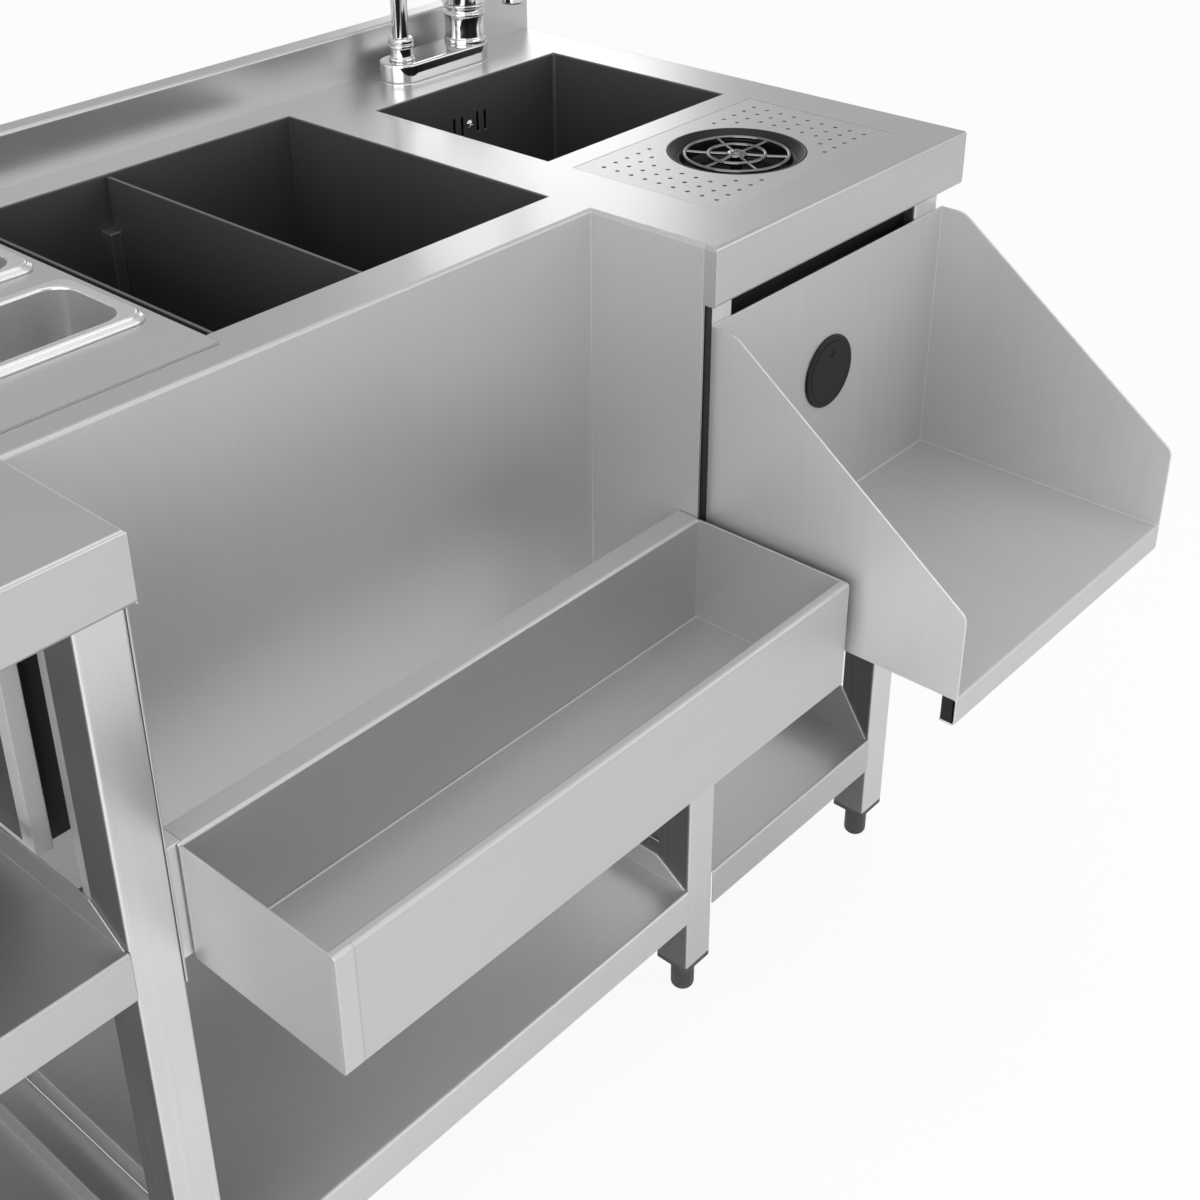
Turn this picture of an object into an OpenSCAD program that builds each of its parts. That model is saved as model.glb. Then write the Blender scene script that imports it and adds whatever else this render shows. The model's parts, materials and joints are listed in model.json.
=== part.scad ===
/* [Worktop] */
// Width of the section on each side of the recess
section_w = 405; // [380:5:500]
// Clear width of the recess, over the ice bin and the speed rail
recess_w = 605; // [600:5:700]
// Depth from the front apron to the foot of the splashback
deck_d = 603; // [600:1:650]
// How far the recess panel is set back from the front apron
recess_d = 144; // [120:1:150]
// Height of the worktop above the floor
deck_h = 900; // [850:5:950]
// Height of the folded apron
apron_h = 56; // [40:1:70]
// Width of the return folded inwards under the apron
return_w = 14; // [8:1:24]
// Thickness of the stainless sheet
sheet = 1.5; // [1:0.1:2]
// Inner radius of the sheet's folds
bend_r = 2; // [1:0.5:3]

/* [Splashback] */
// Height of the splashback above the worktop
splash_h = 53; // [40:1:150]
// Depth of the fold along the splashback's top
splash_fold = 24; // [20:1:40]

/* [Recess panel] */
// Height of the recess panel and its side returns below the worktop's surface
panel_h = 400; // [380:5:440]

/* [Ice bin] */
// How far the ice bin reaches past the recess at each end
bin_over = 0.5; // [0:0.5:1]
// Depth of the worktop between the ice bin and the splashback
bin_rear = 39; // [36:1:60]
// Distance of the bin's front edge behind the recess panel
bin_in = 51; // [40:1:52]
// Depth of the ice bin
bin_depth = 338; // [250:1:345]
// Thickness of the foam round the ice bin
foam = 15; // [10:1:16]
// Radius of the bin's drain hole
drain_r = 24; // [18:1:30]

/* [Dividers] */
// Position of the main divider from the middle of the bin
divider_x = 76; // [60:1:120]
// Position of the divider beside the pan holder
partition_x = -80; // [-82:1:-60]
// Distance of the divider guides' tops below the worktop
guide_top = 55; // [40:1:80]
// Width of a guide on each side of its slot
guide_w = 12; // [8:1:14]
// Depth of a guide from the bin's wall
guide_d = 15; // [10:1:20]
// Play of a divider in its slot, on each side
slot_gap = 0.6; // [0.4:0.1:1]

/* [Pan holder] */
// How far the pan holder laps over the worktop
holder_lap = 21; // [12:1:22]
// Distance of the pan holder's right edge from the middle of the bin
holder_x = -92; // [-110:1:-90]
// Distance of the pans from the bin's left wall
pan_side = 14; // [14:1:24]
// Gap between the two pans
pan_gap = 37; // [30:1:45]
// Distance of the second pan from the bin's back wall
pan_rear = 40; // [34:1:60]
// Depth of a pan
pan_depth = 100; // [65:5:150]
// Distance of the first pan behind the bin's front edge
pan_in = 52; // [30:1:55]
// Width of a pan's rim
pan_rim = 12.5; // [10:0.5:14]
// Height of a pan's rim above the holder
pan_rim_h = 7; // [4:0.5:9]

/* [Sink] */
// Distance of the sink from the recess
sink_in = 69.5; // [60:0.5:75]
// Width of the worktop between the sink and the end
sink_end = 59; // [54:0.5:90]
// Distance of the sink's front edge behind the front apron
sink_y = 260; // [258:1:270]
// Depth of the worktop between the sink and the splashback
sink_rear = 96.5; // [90:0.5:120]
// Depth of the sink
sink_depth = 180; // [140:5:220]
// Radius of the sink's waste hole
waste_r = 22; // [20:1:30]
// Height of the overflow slots
slot_h = 24; // [16:1:30]
// Length of the sink's waste down to its trap
waste_l = 80; // [60:5:100]

/* [Drip tray] */
// Distance of the drip tray from the recess
tray_in = 72; // [65:1:75]
// Width of the worktop between the drip tray and the end
tray_end = 54; // [48:1:64]
// Distance of the drip tray behind the front apron
tray_y = 51; // [40:1:56]
// Depth of the drip tray, front to back
tray_d = 179; // [172:1:182]
// Depth of the basin under the drip tray
tray_depth = 34; // [30:1:40]
// Distance between the drain holes of the drip tray
hole_pitch = 17; // [16:0.5:20]
// Diameter of the drain holes
hole_dia = 4.4; // [3:0.2:6]

/* [Glass rinser] */
// Radius of the glass rinser
rinser_r = 68; // [60:1:70]
// Radius of the rinser's star over its outer ring
star_r = 53; // [46:1:54]
// Travel of the star when a glass presses it
star_travel = 6; // [4:0.5:8]

/* [Tap] */
// Distance between the spout and the valve
tap_pitch = 98; // [90:1:110]
// How far the tap's middle is to the right of the sink's middle
tap_shift = 3.25; // [-10:0.25:10]
// Distance of the tap's axis in front of the splashback
tap_in = 41; // [38:0.5:50]
// Radius of the tap's base and valve
tap_r = 25; // [22:1:26]
// Height of the tap's base
tap_base_h = 23.5; // [16:0.5:30]
// Radius of the spout's tube
spout_r = 9; // [8:0.5:11]
// Height of the straight riser above the tap's base
riser_h = 150; // [120:5:220]
// Reach of the spout from its riser
spout_reach = 170; // [150:5:190]
// Height of the valve's lower body
valve_h = 45; // [35:1:60]
// Length of the lever
lever_l = 92; // [70:1:110]
// Length of the threaded shanks under the deck
shank_l = 55; // [40:5:70]

/* [Speed rail] */
// Distance of the speed rail's top below the worktop
rail_drop = 272; // [240:1:280]
// Height of the speed rail
rail_h = 110; // [90:1:120]
// How far the speed rail stands out from the front apron
rail_front = 156; // [130:1:180]
// Gap at the left end of the speed rail
rail_gap_l = 8.5; // [5:0.5:11]
// Gap at the right end of the speed rail
rail_gap_r = 1; // [0.5:0.5:4]
// Width of the hem along the front of the speed rail
rail_hem = 11; // [9:1:16]
// Width of the lip that rests on the rail's bar
rail_lip = 24.5; // [22:0.5:26]

/* [Blender shelf] */
// Gap between the left leg's side and the blender shelf
shelf_in = 9; // [4:0.5:14]
// Distance of the blender shelf's right side inside the worktop's end
shelf_end = 11; // [10:0.5:30]
// How far the blender shelf stands out from the front apron
shelf_front = 265; // [220:1:300]
// Distance of the top of the blender shelf's back below the worktop
shelf_drop = 80; // [70:1:90]
// Distance of the blender shelf's floor below the worktop
floor_drop = 351; // [330:1:370]
// Height of the front lip
shelf_lip = 27; // [20:1:36]
// Height of the wings' front edge above the shelf's floor
wing_front = 88; // [60:1:110]
// Diameter of the cable grommet's flange
grommet_dia = 76; // [66:1:80]
// Height of the grommet above the shelf's floor
grommet_up = 156; // [120:1:190]

/* [Frame] */
// Side of the square legs
leg_w = 42; // [38:0.5:42]
// Distance of the front legs behind the front apron
leg_set = 14; // [13.5:0.5:16]
// Distance of the outer legs inside the worktop's ends
leg_in = 20.5; // [18:0.5:30]
// Height of the undershelves
low_shelf = 164; // [140:1:200]
// Distance of the middle shelf below the worktop
mid_drop = 340; // [320:1:400]
// Height of a shelf's front fold
shelf_fold = 48; // [30:1:50]
// Height of a shelf's side upstands
upstand = 27; // [15:1:35]
// Height of the upstands at the station's two ends
end_upstand = 60; // [30:1:80]

/* [Feet] */
// Height of the legs' lower ends above the floor
foot_h = 45; // [40:1:60]
// Radius of a foot
foot_r = 13; // [12:0.5:18]
// Radius of a foot's threaded stem
stem_r = 5; // [4:0.5:6]

/* [Hidden] */
$fn = 48;

// Sheet and the radius of its folds taken together
k = sheet + bend_r;
// Half the recess and half the worktop
rec_x = recess_w / 2;
end_x = rec_x + section_w;
// Back plane of the whole station, and the shift that puts the origin at the middle of the base
back_y = deck_d + splash_fold;
mid_y = (back_y - shelf_front) / 2;
// Underside of the deck sheet
deck_z = deck_h - sheet;

// Ice bin
bin_w = recess_w + 2 * bin_over;
bin_x = bin_w / 2;
bin_y = recess_d + bin_in;
bin_d = deck_d - bin_y - bin_rear;
bin_back = bin_y + bin_d;
bin_floor = deck_h - bin_depth;
cas_t = 2 * sheet + foam;
drain_x = bin_x - 110;
drain_y = bin_y + bin_d / 2;
div_t = 2 * sheet;

// Pan holder and pans, which lie at its left
hold_x0 = -bin_x - holder_lap;
hold_z = deck_h + 0.1;
hold_top = hold_z + sheet;
pan_x1 = holder_x - 9;
pan_l = pan_x1 + bin_x - pan_side;
pan_w = (bin_d - pan_in - pan_gap - pan_rear) / 2;
pan_pitch = pan_w + pan_gap;
pan_t = 0.8;
pan_body_l = pan_l - 2 * pan_rim;
pan_body_w = pan_w - 2 * pan_rim;
pan_corner = pan_body_w / 4;
pan_top = hold_top + pan_rim_h;

// Sink
sink_x = rec_x + sink_in;
sink_w = section_w - sink_in - sink_end;
sink_d = deck_d - sink_y - sink_rear;
sink_cx = sink_x + sink_w / 2;
sink_back = sink_y + sink_d;
sink_cy = sink_y + sink_d / 2;
sink_floor = deck_h - sink_depth;
over_z = deck_h - 50;
over_step = 12;

// Drip tray, its basin and the rinser in its middle
tray_x = rec_x + tray_in;
tray_w = section_w - tray_in - tray_end;
tray_cx = tray_x + tray_w / 2;
tray_cy = tray_y + tray_d / 2;
tray_gap = 0.4;
ledge_w = 9;
plate_top = deck_h - 0.2;
plate_z = plate_top - sheet;
ledge_z = plate_z - 0.1;
drip_x = tray_x + tray_w - 40;
drip_y = tray_y + tray_d - 35;
basin_floor = deck_h - tray_depth;
hole_nx = floor((tray_w - 2 * ledge_w - 2 * hole_dia - 4) / hole_pitch / 2);
hole_ny = floor((tray_d - 2 * ledge_w - 2 * hole_dia - 4) / hole_pitch / 2);
star_top = deck_h - 5;
star_hub_r = 6;

// Tap
tap_x = sink_cx + tap_shift - tap_pitch / 2;
tap_y = deck_d - tap_in;
tap_z = deck_h + tap_base_h;
collar_r = spout_r + 5.5;
collar_h = 25;
arch_r = spout_reach / 2;
run_gap = 0.06;
cap_z = tap_z + valve_h + 0.3;
cap_h = 20;
lever_z = cap_z + cap_h;
shank_r = 11;

// Speed rail and its bar
rail_top = deck_h - rail_drop;
rail_x0 = -rec_x + rail_gap_l;
rail_x1 = rec_x - rail_gap_r;
rail_back = leg_set - sheet - 1.5;
bar_y0 = leg_set + 0.6;
bar_d = rail_lip - 4.5;
bar_h = 25;
bar_top = rail_top - sheet;
brk_w = 12;

// Blender shelf
leg_x2 = rec_x + sheet;
shelf_top = deck_h - shelf_drop;
shelf_floor = deck_h - floor_drop;
bshelf_x0 = leg_x2 + shelf_in;
shelf_w = end_x - shelf_end - bshelf_x0;
bshelf_x1 = bshelf_x0 + shelf_w;
bshelf_z = shelf_floor - sheet;
grommet_x = bshelf_x0 + shelf_w / 2 - 1;
grommet_z = shelf_floor + grommet_up;
grommet_hole = grommet_dia / 2 - 5;
hang_d = 30;
hang_h = 55;
plug_l = 16;

// Legs stand beside the recess and inside the worktop's ends
leg_xs = [-end_x + leg_in, -leg_x2 - leg_w, leg_x2, end_x - leg_in - leg_w];
leg_back_y = back_y - sheet - leg_w;
mid_shelf = deck_h - mid_drop;
leg_t = 1.5;
cap_t = 6;
leg_z0 = foot_h + cap_t;
leg_top = ledge_z - sheet - 0.4;
foot_drop = 30;

module at_origin() {
  translate([0, -mid_y, 0]) children();
}

// Flat rectangle with rounded corners
module round_rect(w, d, r) {
  union() {
    translate([r, 0]) square([w - 2 * r, d]);
    translate([0, r]) square([w, d - 2 * r]);
    for (x = [r, w - r], y = [r, d - r]) {
      translate([x, y]) circle(r);
    }
  }
}

// Part of a ring between two angles, up to 120 degrees apart
module ring_sector(ri, ro, a0, a1) {
  am = (a0 + a1) / 2;
  intersection() {
    difference() {
      circle(ro);
      circle(ri);
    }
    polygon([
      [0, 0],
      2 * ro * [cos(a0), sin(a0)],
      2 * ro * [cos(am), sin(am)],
      2 * ro * [cos(a1), sin(a1)]
    ]);
  }
}

// Edge view of a folded sheet: each step is a flat length and the fold after it.
// The sheet lies to the left of the way it runs, and a positive fold turns left.
module strip(path, t, r, i = 0) {
  if (i < len(path)) {
    l = path[i][0];
    a = path[i][1];
    if (l > 0) {
      square([l, t]);
    }
    if (a > 0) {
      translate([l, t + r]) {
        ring_sector(r, r + t, -90, -90 + a);
        rotate(a) translate([0, -t - r]) strip(path, t, r, i + 1);
      }
    }
    if (a < 0) {
      translate([l, -r]) {
        ring_sector(r, r + t, 90 + a, 90);
        rotate(a) translate([0, r]) strip(path, t, r, i + 1);
      }
    }
  }
}

// Folded edge of the worktop, run along +Y with its outer face at x = 0 and facing +X.
// The mitres m0 and m1 are 1 at an outer corner, -1 at an inner one and 0 at a square end.
module edge_run(length, path, m0, m1, w, top_z) {
  intersection() {
    translate([-k, length + w, top_z - sheet]) rotate([90, 0, 0])
      linear_extrude(length + 2 * w) strip(path, sheet, bend_r);
    translate([0, 0, top_z - 1000]) linear_extrude(1001) polygon([
      [1, -m0],
      [-w, w * m0],
      [-w, length - w * m1],
      [1, length + m1]
    ]);
  }
}

apron_path = [[0, -90], [apron_h - 2 * k, -90], [return_w - k, 0]];
panel_path = [[0, -90], [panel_h - 2 * k, -90], [return_w - k, 0]];
side_path = [[0, -90], [panel_h - k, 0]];

module deck_outline() {
  difference() {
    translate([-end_x + k, k]) square([2 * (end_x - k), deck_d - k]);
    translate([-rec_x - k, -1]) square([2 * (rec_x + k), recess_d + k + 1]);
    translate([-bin_x, bin_y]) square([bin_w, bin_d]);
    translate([sink_x, sink_y]) square([sink_w, sink_d]);
    translate([tray_x, tray_y]) square([tray_w, tray_d]);
    for (x = [0, tap_pitch]) {
      translate([tap_x + x, tap_y]) circle(shank_r + 1);
    }
  }
}

// Worktop: a U-shaped deck, cut out for the bin, the sink and the drip tray,
// with an apron folded down along its front and its ends
module worktop() {
  color("lightgray") at_origin() {
    translate([0, 0, deck_z]) linear_extrude(sheet) deck_outline();
    for (s = [0, 1]) {
      mirror([s, 0, 0]) {
        // Front apron of the section
        translate([rec_x, 0, 0]) rotate([0, 0, -90])
          edge_run(section_w, apron_path, 1, 1, return_w, deck_h);
        // End apron
        translate([end_x, 0, 0])
          edge_run(deck_d, apron_path, 1, 0, return_w, deck_h);
        // Short apron that turns into the recess, back to the leg's front face
        translate([rec_x, leg_set, 0]) rotate([0, 0, 180])
          edge_run(leg_set, [[0, -90], [apron_h - k, 0]], 0, 1, k, deck_h);
      }
    }
  }
}

// Splashback: upstand, fold and back skirt in one sheet, with closed ends
module splashback() {
  color("lightgray") at_origin() {
    skirt = splash_h + apron_h - 2 * k;
    translate([-end_x, 0, 0]) rotate([90, 0, 90]) linear_extrude(2 * end_x)
      translate([deck_d + sheet, deck_z]) rotate(90)
        strip([[splash_h + sheet - k, -90], [splash_fold - sheet - bend_r - k, -90], [skirt, 0]], sheet, bend_r);
    for (x = [-end_x, end_x - sheet]) {
      translate([x, deck_d + sheet, deck_h - apron_h + 10])
        cube([sheet, splash_fold - 2 * sheet, splash_h + apron_h - 10 - k]);
    }
  }
}

// Recess panel: set back between the sections, with a side return along each
module recess_panel() {
  color("lightgray") at_origin() {
    translate([-rec_x, recess_d, 0]) rotate([0, 0, -90])
      edge_run(recess_w, panel_path, -1, -1, return_w, deck_h);
    for (s = [0, 1]) {
      mirror([s, 0, 0]) translate([rec_x, recess_d, 0]) rotate([0, 0, 180])
        edge_run(recess_d - leg_set, side_path, -1, 0, k, deck_h);
    }
  }
}

// Sheet that closes the back of the middle bay, between the rear legs
module back_panel() {
  hem = 12;
  panel_x = leg_x2 - sheet - 0.3;
  color("lightgray") at_origin() translate([-panel_x, leg_back_y + 10, low_shelf + 0.1]) {
    cube([2 * panel_x, sheet, deck_z - low_shelf - 0.2]);
    translate([0, sheet / 2, 0]) cube([2 * panel_x, hem, sheet]);
    translate([0, sheet / 2, deck_z - low_shelf - 0.2 - sheet]) cube([2 * panel_x, hem, sheet]);
  }
}

// Hat-shaped channels under the deck, between its cut-outs
module hat_channel(length, w, h) {
  rotate([90, 0, 90]) linear_extrude(length) {
    difference() {
      translate([-w / 2, -h]) square([w, h]);
      translate([-w / 2 + sheet, -h + sheet]) square([w - 2 * sheet, h]);
    }
    for (x = [-w / 2 - 7, w / 2 - sheet]) {
      translate([x, -sheet]) square([7 + sheet, sheet]);
    }
  }
}

module deck_stiffeners() {
  color("silver") at_origin() {
    stiff_l = section_w - 2 * leg_in - leg_w;
    for (y = [bin_y - 31, bin_y + bin_d * 0.485, bin_back - 20]) {
      translate([-end_x + return_w + 8, y, deck_z]) hat_channel(stiff_l, 30, 20);
    }
    gap_y = tray_y + tray_d;
    translate([tray_x + 20, (gap_y + sink_y) / 2, deck_z])
      rotate([90, 0, 90]) linear_extrude(tray_w - 60) {
        translate([-sheet / 2, -22]) square([sheet, 22]);
        translate([-8, -sheet]) square([16, sheet]);
      }
  }
}

// Open-topped box of sheet, its cavity x by y by z below the given top
module tank(x0, y0, w, d, floor_z, top_z, t) {
  difference() {
    translate([x0 - t, y0 - t, floor_z - t]) cube([w + 2 * t, d + 2 * t, top_z - floor_z + t]);
    translate([x0, y0, floor_z]) cube([w, d, top_z - floor_z + 1]);
  }
}

module bin_liner() {
  color("dimgray") at_origin() difference() {
    tank(-bin_x, bin_y, bin_w, bin_d, bin_floor, deck_z, sheet);
    translate([drain_x, drain_y, bin_floor - 2 * sheet]) cylinder(h = 4 * sheet, r = drain_r);
  }
}

module bin_foam() {
  color("khaki") at_origin() difference() {
    tank(-bin_x - sheet, bin_y - sheet, bin_w + 2 * sheet, bin_d + 2 * sheet,
      bin_floor - sheet, deck_z, foam);
    translate([drain_x, drain_y, bin_floor - cas_t - 5]) cylinder(h = cas_t + 10, r = drain_r + 4);
  }
}

module bin_casing() {
  color("lightgray") at_origin() difference() {
    tank(-bin_x - sheet - foam, bin_y - sheet - foam, bin_w + 2 * (sheet + foam),
      bin_d + 2 * (sheet + foam), bin_floor - sheet - foam, deck_z, sheet);
    translate([drain_x, drain_y, bin_floor - cas_t - 5]) cylinder(h = cas_t + 10, r = drain_r + 4);
  }
}

// Square tube stays that hang in front of the bin's casing
module bin_stays() {
  stay = 16;
  color("silver") at_origin() for (s = [0, 1]) {
    mirror([s, 0, 0]) translate([bin_x + cas_t - stay / 2, bin_y - cas_t - stay - 0.1, bin_floor - 12])
      linear_extrude(deck_z - bin_floor + 12) difference() {
        square(stay);
        translate([sheet, sheet]) square(stay - 2 * sheet);
      }
  }
}

// Drain of the ice bin: a flange with a slotted dome, and a tail through the foam
module bin_drain() {
  color("gainsboro") at_origin() translate([drain_x, drain_y, 0]) {
    difference() {
      union() {
        translate([0, 0, bin_floor]) cylinder(h = 2, r = drain_r + 12);
        translate([0, 0, bin_floor - cas_t - 6]) cylinder(h = cas_t + 7, r = drain_r - 0.1);
        translate([0, 0, bin_floor - cas_t - 52]) cylinder(h = 52, r = 16);
      }
      translate([0, 0, bin_floor - cas_t - 53]) cylinder(h = cas_t + 57, r = 13);
    }
    difference() {
      translate([0, 0, bin_floor - 3]) cylinder(h = 4, r = 14);
      for (a = [0:60:300]) {
        rotate([0, 0, a]) translate([8, 0, bin_floor - 4]) cylinder(h = 6, r = 2.4);
      }
      translate([0, 0, bin_floor - 4]) cylinder(h = 6, r = 2.4);
    }
    translate([0, 0, bin_floor - cas_t - 12]) difference() {
      cylinder(h = 12, r = drain_r + 10);
      translate([0, 0, -1]) cylinder(h = 14, r = drain_r - 5);
    }
  }
}

// One guide block: two square bars and the slot between them, with a web at the wall
module guide(w, d, h, slot) {
  difference() {
    translate([-w - slot / 2, 0, 0]) cube([2 * w + slot, d, h]);
    translate([-slot / 2, sheet, -1]) cube([slot, d, h + 2]);
  }
}

module divider_guides() {
  guide_h = bin_depth - guide_top;
  slot = div_t + 2 * slot_gap;
  color("gray") at_origin() for (x = [divider_x, partition_x]) {
    translate([x, bin_y, bin_floor]) guide(guide_w, guide_d, guide_h, slot);
    translate([x, bin_back, bin_floor]) rotate([0, 0, 180]) guide(guide_w, guide_d, guide_h, slot);
  }
}

// Lift-out divider: one sheet with a hem folded along its top edge
module divider_sheet(x) {
  side = sheet + 0.5;
  hem = 14;
  translate([x - div_t / 2, bin_y + side, bin_floor + 0.3])
    cube([sheet, bin_d - 2 * side, bin_depth - 3.3]);
  translate([x - div_t / 2, bin_y + side, bin_floor + 0.3]) cube([div_t, guide_d - 3, bin_depth - 3.3]);
  translate([x - div_t / 2, bin_back - side - guide_d + 3, bin_floor + 0.3])
    cube([div_t, guide_d - 3, bin_depth - 3.3]);
  translate([x - div_t / 2, bin_y + side, deck_h - 3 - hem]) cube([div_t, bin_d - 2 * side, hem]);
}

module divider() {
  color("dimgray") at_origin() divider_sheet(divider_x);
}

module partition() {
  color("dimgray") at_origin() divider_sheet(partition_x);
}

// Plate over the left of the bin, cut out for two pans, with a skirt inside the opening
module pan_holder() {
  hold_y0 = bin_y - holder_lap;
  hold_d = bin_d + 2 * holder_lap;
  skirt_in = 1.2;
  color("silver") at_origin() {
    translate([hold_x0, hold_y0, hold_z]) linear_extrude(sheet) difference() {
      round_rect(holder_x - hold_x0, hold_d, 3);
      for (i = [0, 1]) {
        translate([
          pan_x1 - pan_l + pan_rim - 1 - hold_x0,
          bin_y + pan_in + i * pan_pitch + pan_rim - 1 - hold_y0
        ]) round_rect(pan_body_l + 2, pan_body_w + 2, pan_corner);
      }
    }
    translate([holder_x - sheet, bin_y + skirt_in, hold_z - 14])
      cube([sheet, bin_d - 2 * skirt_in, 14 + sheet / 2]);
    for (y = [bin_y + skirt_in, bin_back - skirt_in - sheet]) {
      translate([-bin_x + skirt_in, y, hold_z - 10])
        cube([holder_x + bin_x - 2 * skirt_in, sheet, 10 + sheet / 2]);
    }
  }
}

// Body of a pan: its corners are cones and its walls lean in towards the base
module pan_shape(w, d, h, r, lean) {
  translate([0, 0, -h]) {
    for (x = [r, w - r], y = [r, d - r]) {
      translate([x, y, 0]) cylinder(h = h, r1 = r - lean, r2 = r);
    }
    translate([r, 0, 0]) rotate([90, 0, 90]) linear_extrude(w - 2 * r)
      polygon([[0, h], [lean, 0], [d - lean, 0], [d, h]]);
    translate([0, d - r, 0]) rotate([90, 0, 0]) linear_extrude(d - 2 * r)
      polygon([[0, h], [lean, 0], [w - lean, 0], [w, h]]);
  }
}

// Gastronorm pan: a stepped rim with rounded corners over a leaning body
module pan(i) {
  y0 = bin_y + pan_in + i * pan_pitch;
  lean = 6;
  rim_z = hold_top + 0.1;
  color("silver") at_origin() translate([pan_x1 - pan_l, y0, 0]) difference() {
    union() {
      translate([0, 0, rim_z]) linear_extrude(pan_rim_h * 0.6) round_rect(pan_l, pan_w, 16);
      translate([3, 3, rim_z]) linear_extrude(pan_rim_h) round_rect(pan_l - 6, pan_w - 6, 14);
      translate([pan_rim, pan_rim, rim_z + 1]) pan_shape(pan_body_l, pan_body_w, pan_depth + 1, pan_corner, lean);
    }
    translate([pan_rim + pan_t, pan_rim + pan_t, rim_z + 1])
      pan_shape(pan_body_l - 2 * pan_t, pan_body_w - 2 * pan_t, pan_depth + 1 - pan_t, pan_corner - pan_t, lean);
    translate([pan_rim + pan_t, pan_rim + pan_t, rim_z + 0.9])
      linear_extrude(pan_rim_h) round_rect(pan_body_l - 2 * pan_t, pan_body_w - 2 * pan_t, pan_corner - pan_t);
  }
}

module pan_front() {
  pan(0);
}

module pan_back() {
  pan(1);
}

module sink_bowl() {
  color("dimgray") at_origin() difference() {
    translate([sink_x - sheet, sink_y - sheet, sink_floor - sheet])
      linear_extrude(deck_z - sink_floor + sheet) round_rect(sink_w + 2 * sheet, sink_d + 2 * sheet, 4 + sheet);
    translate([sink_x, sink_y, sink_floor]) linear_extrude(sink_depth) round_rect(sink_w, sink_d, 4);
    translate([sink_cx, sink_cy, sink_floor - 2 * sheet]) cylinder(h = 4 * sheet, r = waste_r);
    for (i = [-2, -1, 1, 2]) {
      translate([sink_cx + i * over_step, sink_back - 1, over_z]) rotate([-90, 0, 0]) linear_extrude(sheet + 2) {
        square([4, slot_h - 4], center = true);
        for (s = [-1, 1]) {
          translate([0, s * (slot_h / 2 - 2)]) circle(2);
        }
      }
    }
    translate([sink_cx, sink_back - 1, over_z]) rotate([-90, 0, 0]) cylinder(h = sheet + 2, r = 2.6);
  }
}

module overflow_screw() {
  color("gainsboro") at_origin() translate([sink_cx, sink_back, over_z]) rotate([90, 0, 0]) {
    difference() {
      rotate_extrude() intersection() {
        translate([0, -3.5]) circle(6);
        square([5, 3]);
      }
      translate([-4, -0.5, 1.7]) cube([8, 1, 2]);
    }
    translate([0, 0, -14]) cylinder(h = 14, r = 2.4);
  }
}

// Overflow box behind the slots, and its pipe down to the waste
module overflow_box() {
  box_y = sink_back + sheet;
  box_w = 4 * over_step + 20;
  pipe_r = 9;
  pipe_y = box_y + 13;
  pipe_z = sink_floor - 28;
  color("dimgray") at_origin() {
    difference() {
      translate([sink_cx - box_w / 2, box_y, over_z - slot_h / 2 - 10]) cube([box_w, 26, slot_h + 20]);
      difference() {
        translate([sink_cx - box_w / 2 + 2, box_y - 1, over_z - slot_h / 2 - 8]) cube([box_w - 4, 25, slot_h + 16]);
        translate([sink_cx, box_y, over_z]) rotate([-90, 0, 0]) cylinder(h = 26, r = 5);
      }
      translate([sink_cx, box_y - 2, over_z]) rotate([-90, 0, 0]) cylinder(h = 18, r = 2.4 + run_gap);
      translate([sink_cx, pipe_y, over_z - slot_h / 2 - 12]) cylinder(h = 6, r = pipe_r - 2);
    }
    difference() {
      union() {
        translate([sink_cx, pipe_y, pipe_z]) cylinder(h = over_z - slot_h / 2 - 10 - pipe_z, r = pipe_r);
        translate([sink_cx, pipe_y, pipe_z]) sphere(pipe_r);
        translate([sink_cx, sink_cy + waste_r + 0.3, pipe_z]) rotate([-90, 0, 0])
          cylinder(h = pipe_y - sink_cy - waste_r - 0.3, r = pipe_r);
      }
      translate([sink_cx, pipe_y, pipe_z]) cylinder(h = over_z - pipe_z, r = pipe_r - 2);
      translate([sink_cx, sink_cy + waste_r, pipe_z]) rotate([-90, 0, 0])
        cylinder(h = pipe_y - sink_cy - waste_r, r = pipe_r - 2);
    }
  }
}

module sink_waste() {
  color("gainsboro") at_origin() translate([sink_cx, sink_cy, 0]) difference() {
    union() {
      translate([0, 0, sink_floor]) cylinder(h = 1.6, r = waste_r + 13);
      translate([0, 0, sink_floor - 45]) cylinder(h = 46, r = waste_r - 0.05);
      translate([0, 0, sink_floor - sheet - 12]) cylinder(h = 12 - 0.05, r = waste_r + 11);
      translate([0, 0, sink_floor - waste_l]) cylinder(h = waste_l - 40, r = 16);
    }
    translate([0, 0, sink_floor - 42]) cylinder(h = 60, r = waste_r - 2.5);
    translate([0, 0, sink_floor - waste_l - 1]) cylinder(h = waste_l - 21, r = 13.5);
  }
}

// Lift-out strainer that sits in the waste
module sink_strainer() {
  strain_r = waste_r - 3;
  color("gainsboro") at_origin() translate([sink_cx, sink_cy, 0]) {
    difference() {
      union() {
        translate([0, 0, sink_floor + 1.7]) cylinder(h = 1.5, r = waste_r + 3);
        translate([0, 0, sink_floor - 14]) cylinder(h = 17, r = strain_r);
      }
      translate([0, 0, sink_floor - 12.5]) cylinder(h = 17, r = strain_r - 1.5);
      for (a = [0:45:315]) {
        rotate([0, 0, a]) translate([strain_r * 0.6, 0, sink_floor - 15]) cylinder(h = 4, r = 2);
      }
    }
    translate([0, 0, sink_floor - 14]) cylinder(h = 22, r = 2.5);
    translate([0, 0, sink_floor + 8]) sphere(5);
  }
}

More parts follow.
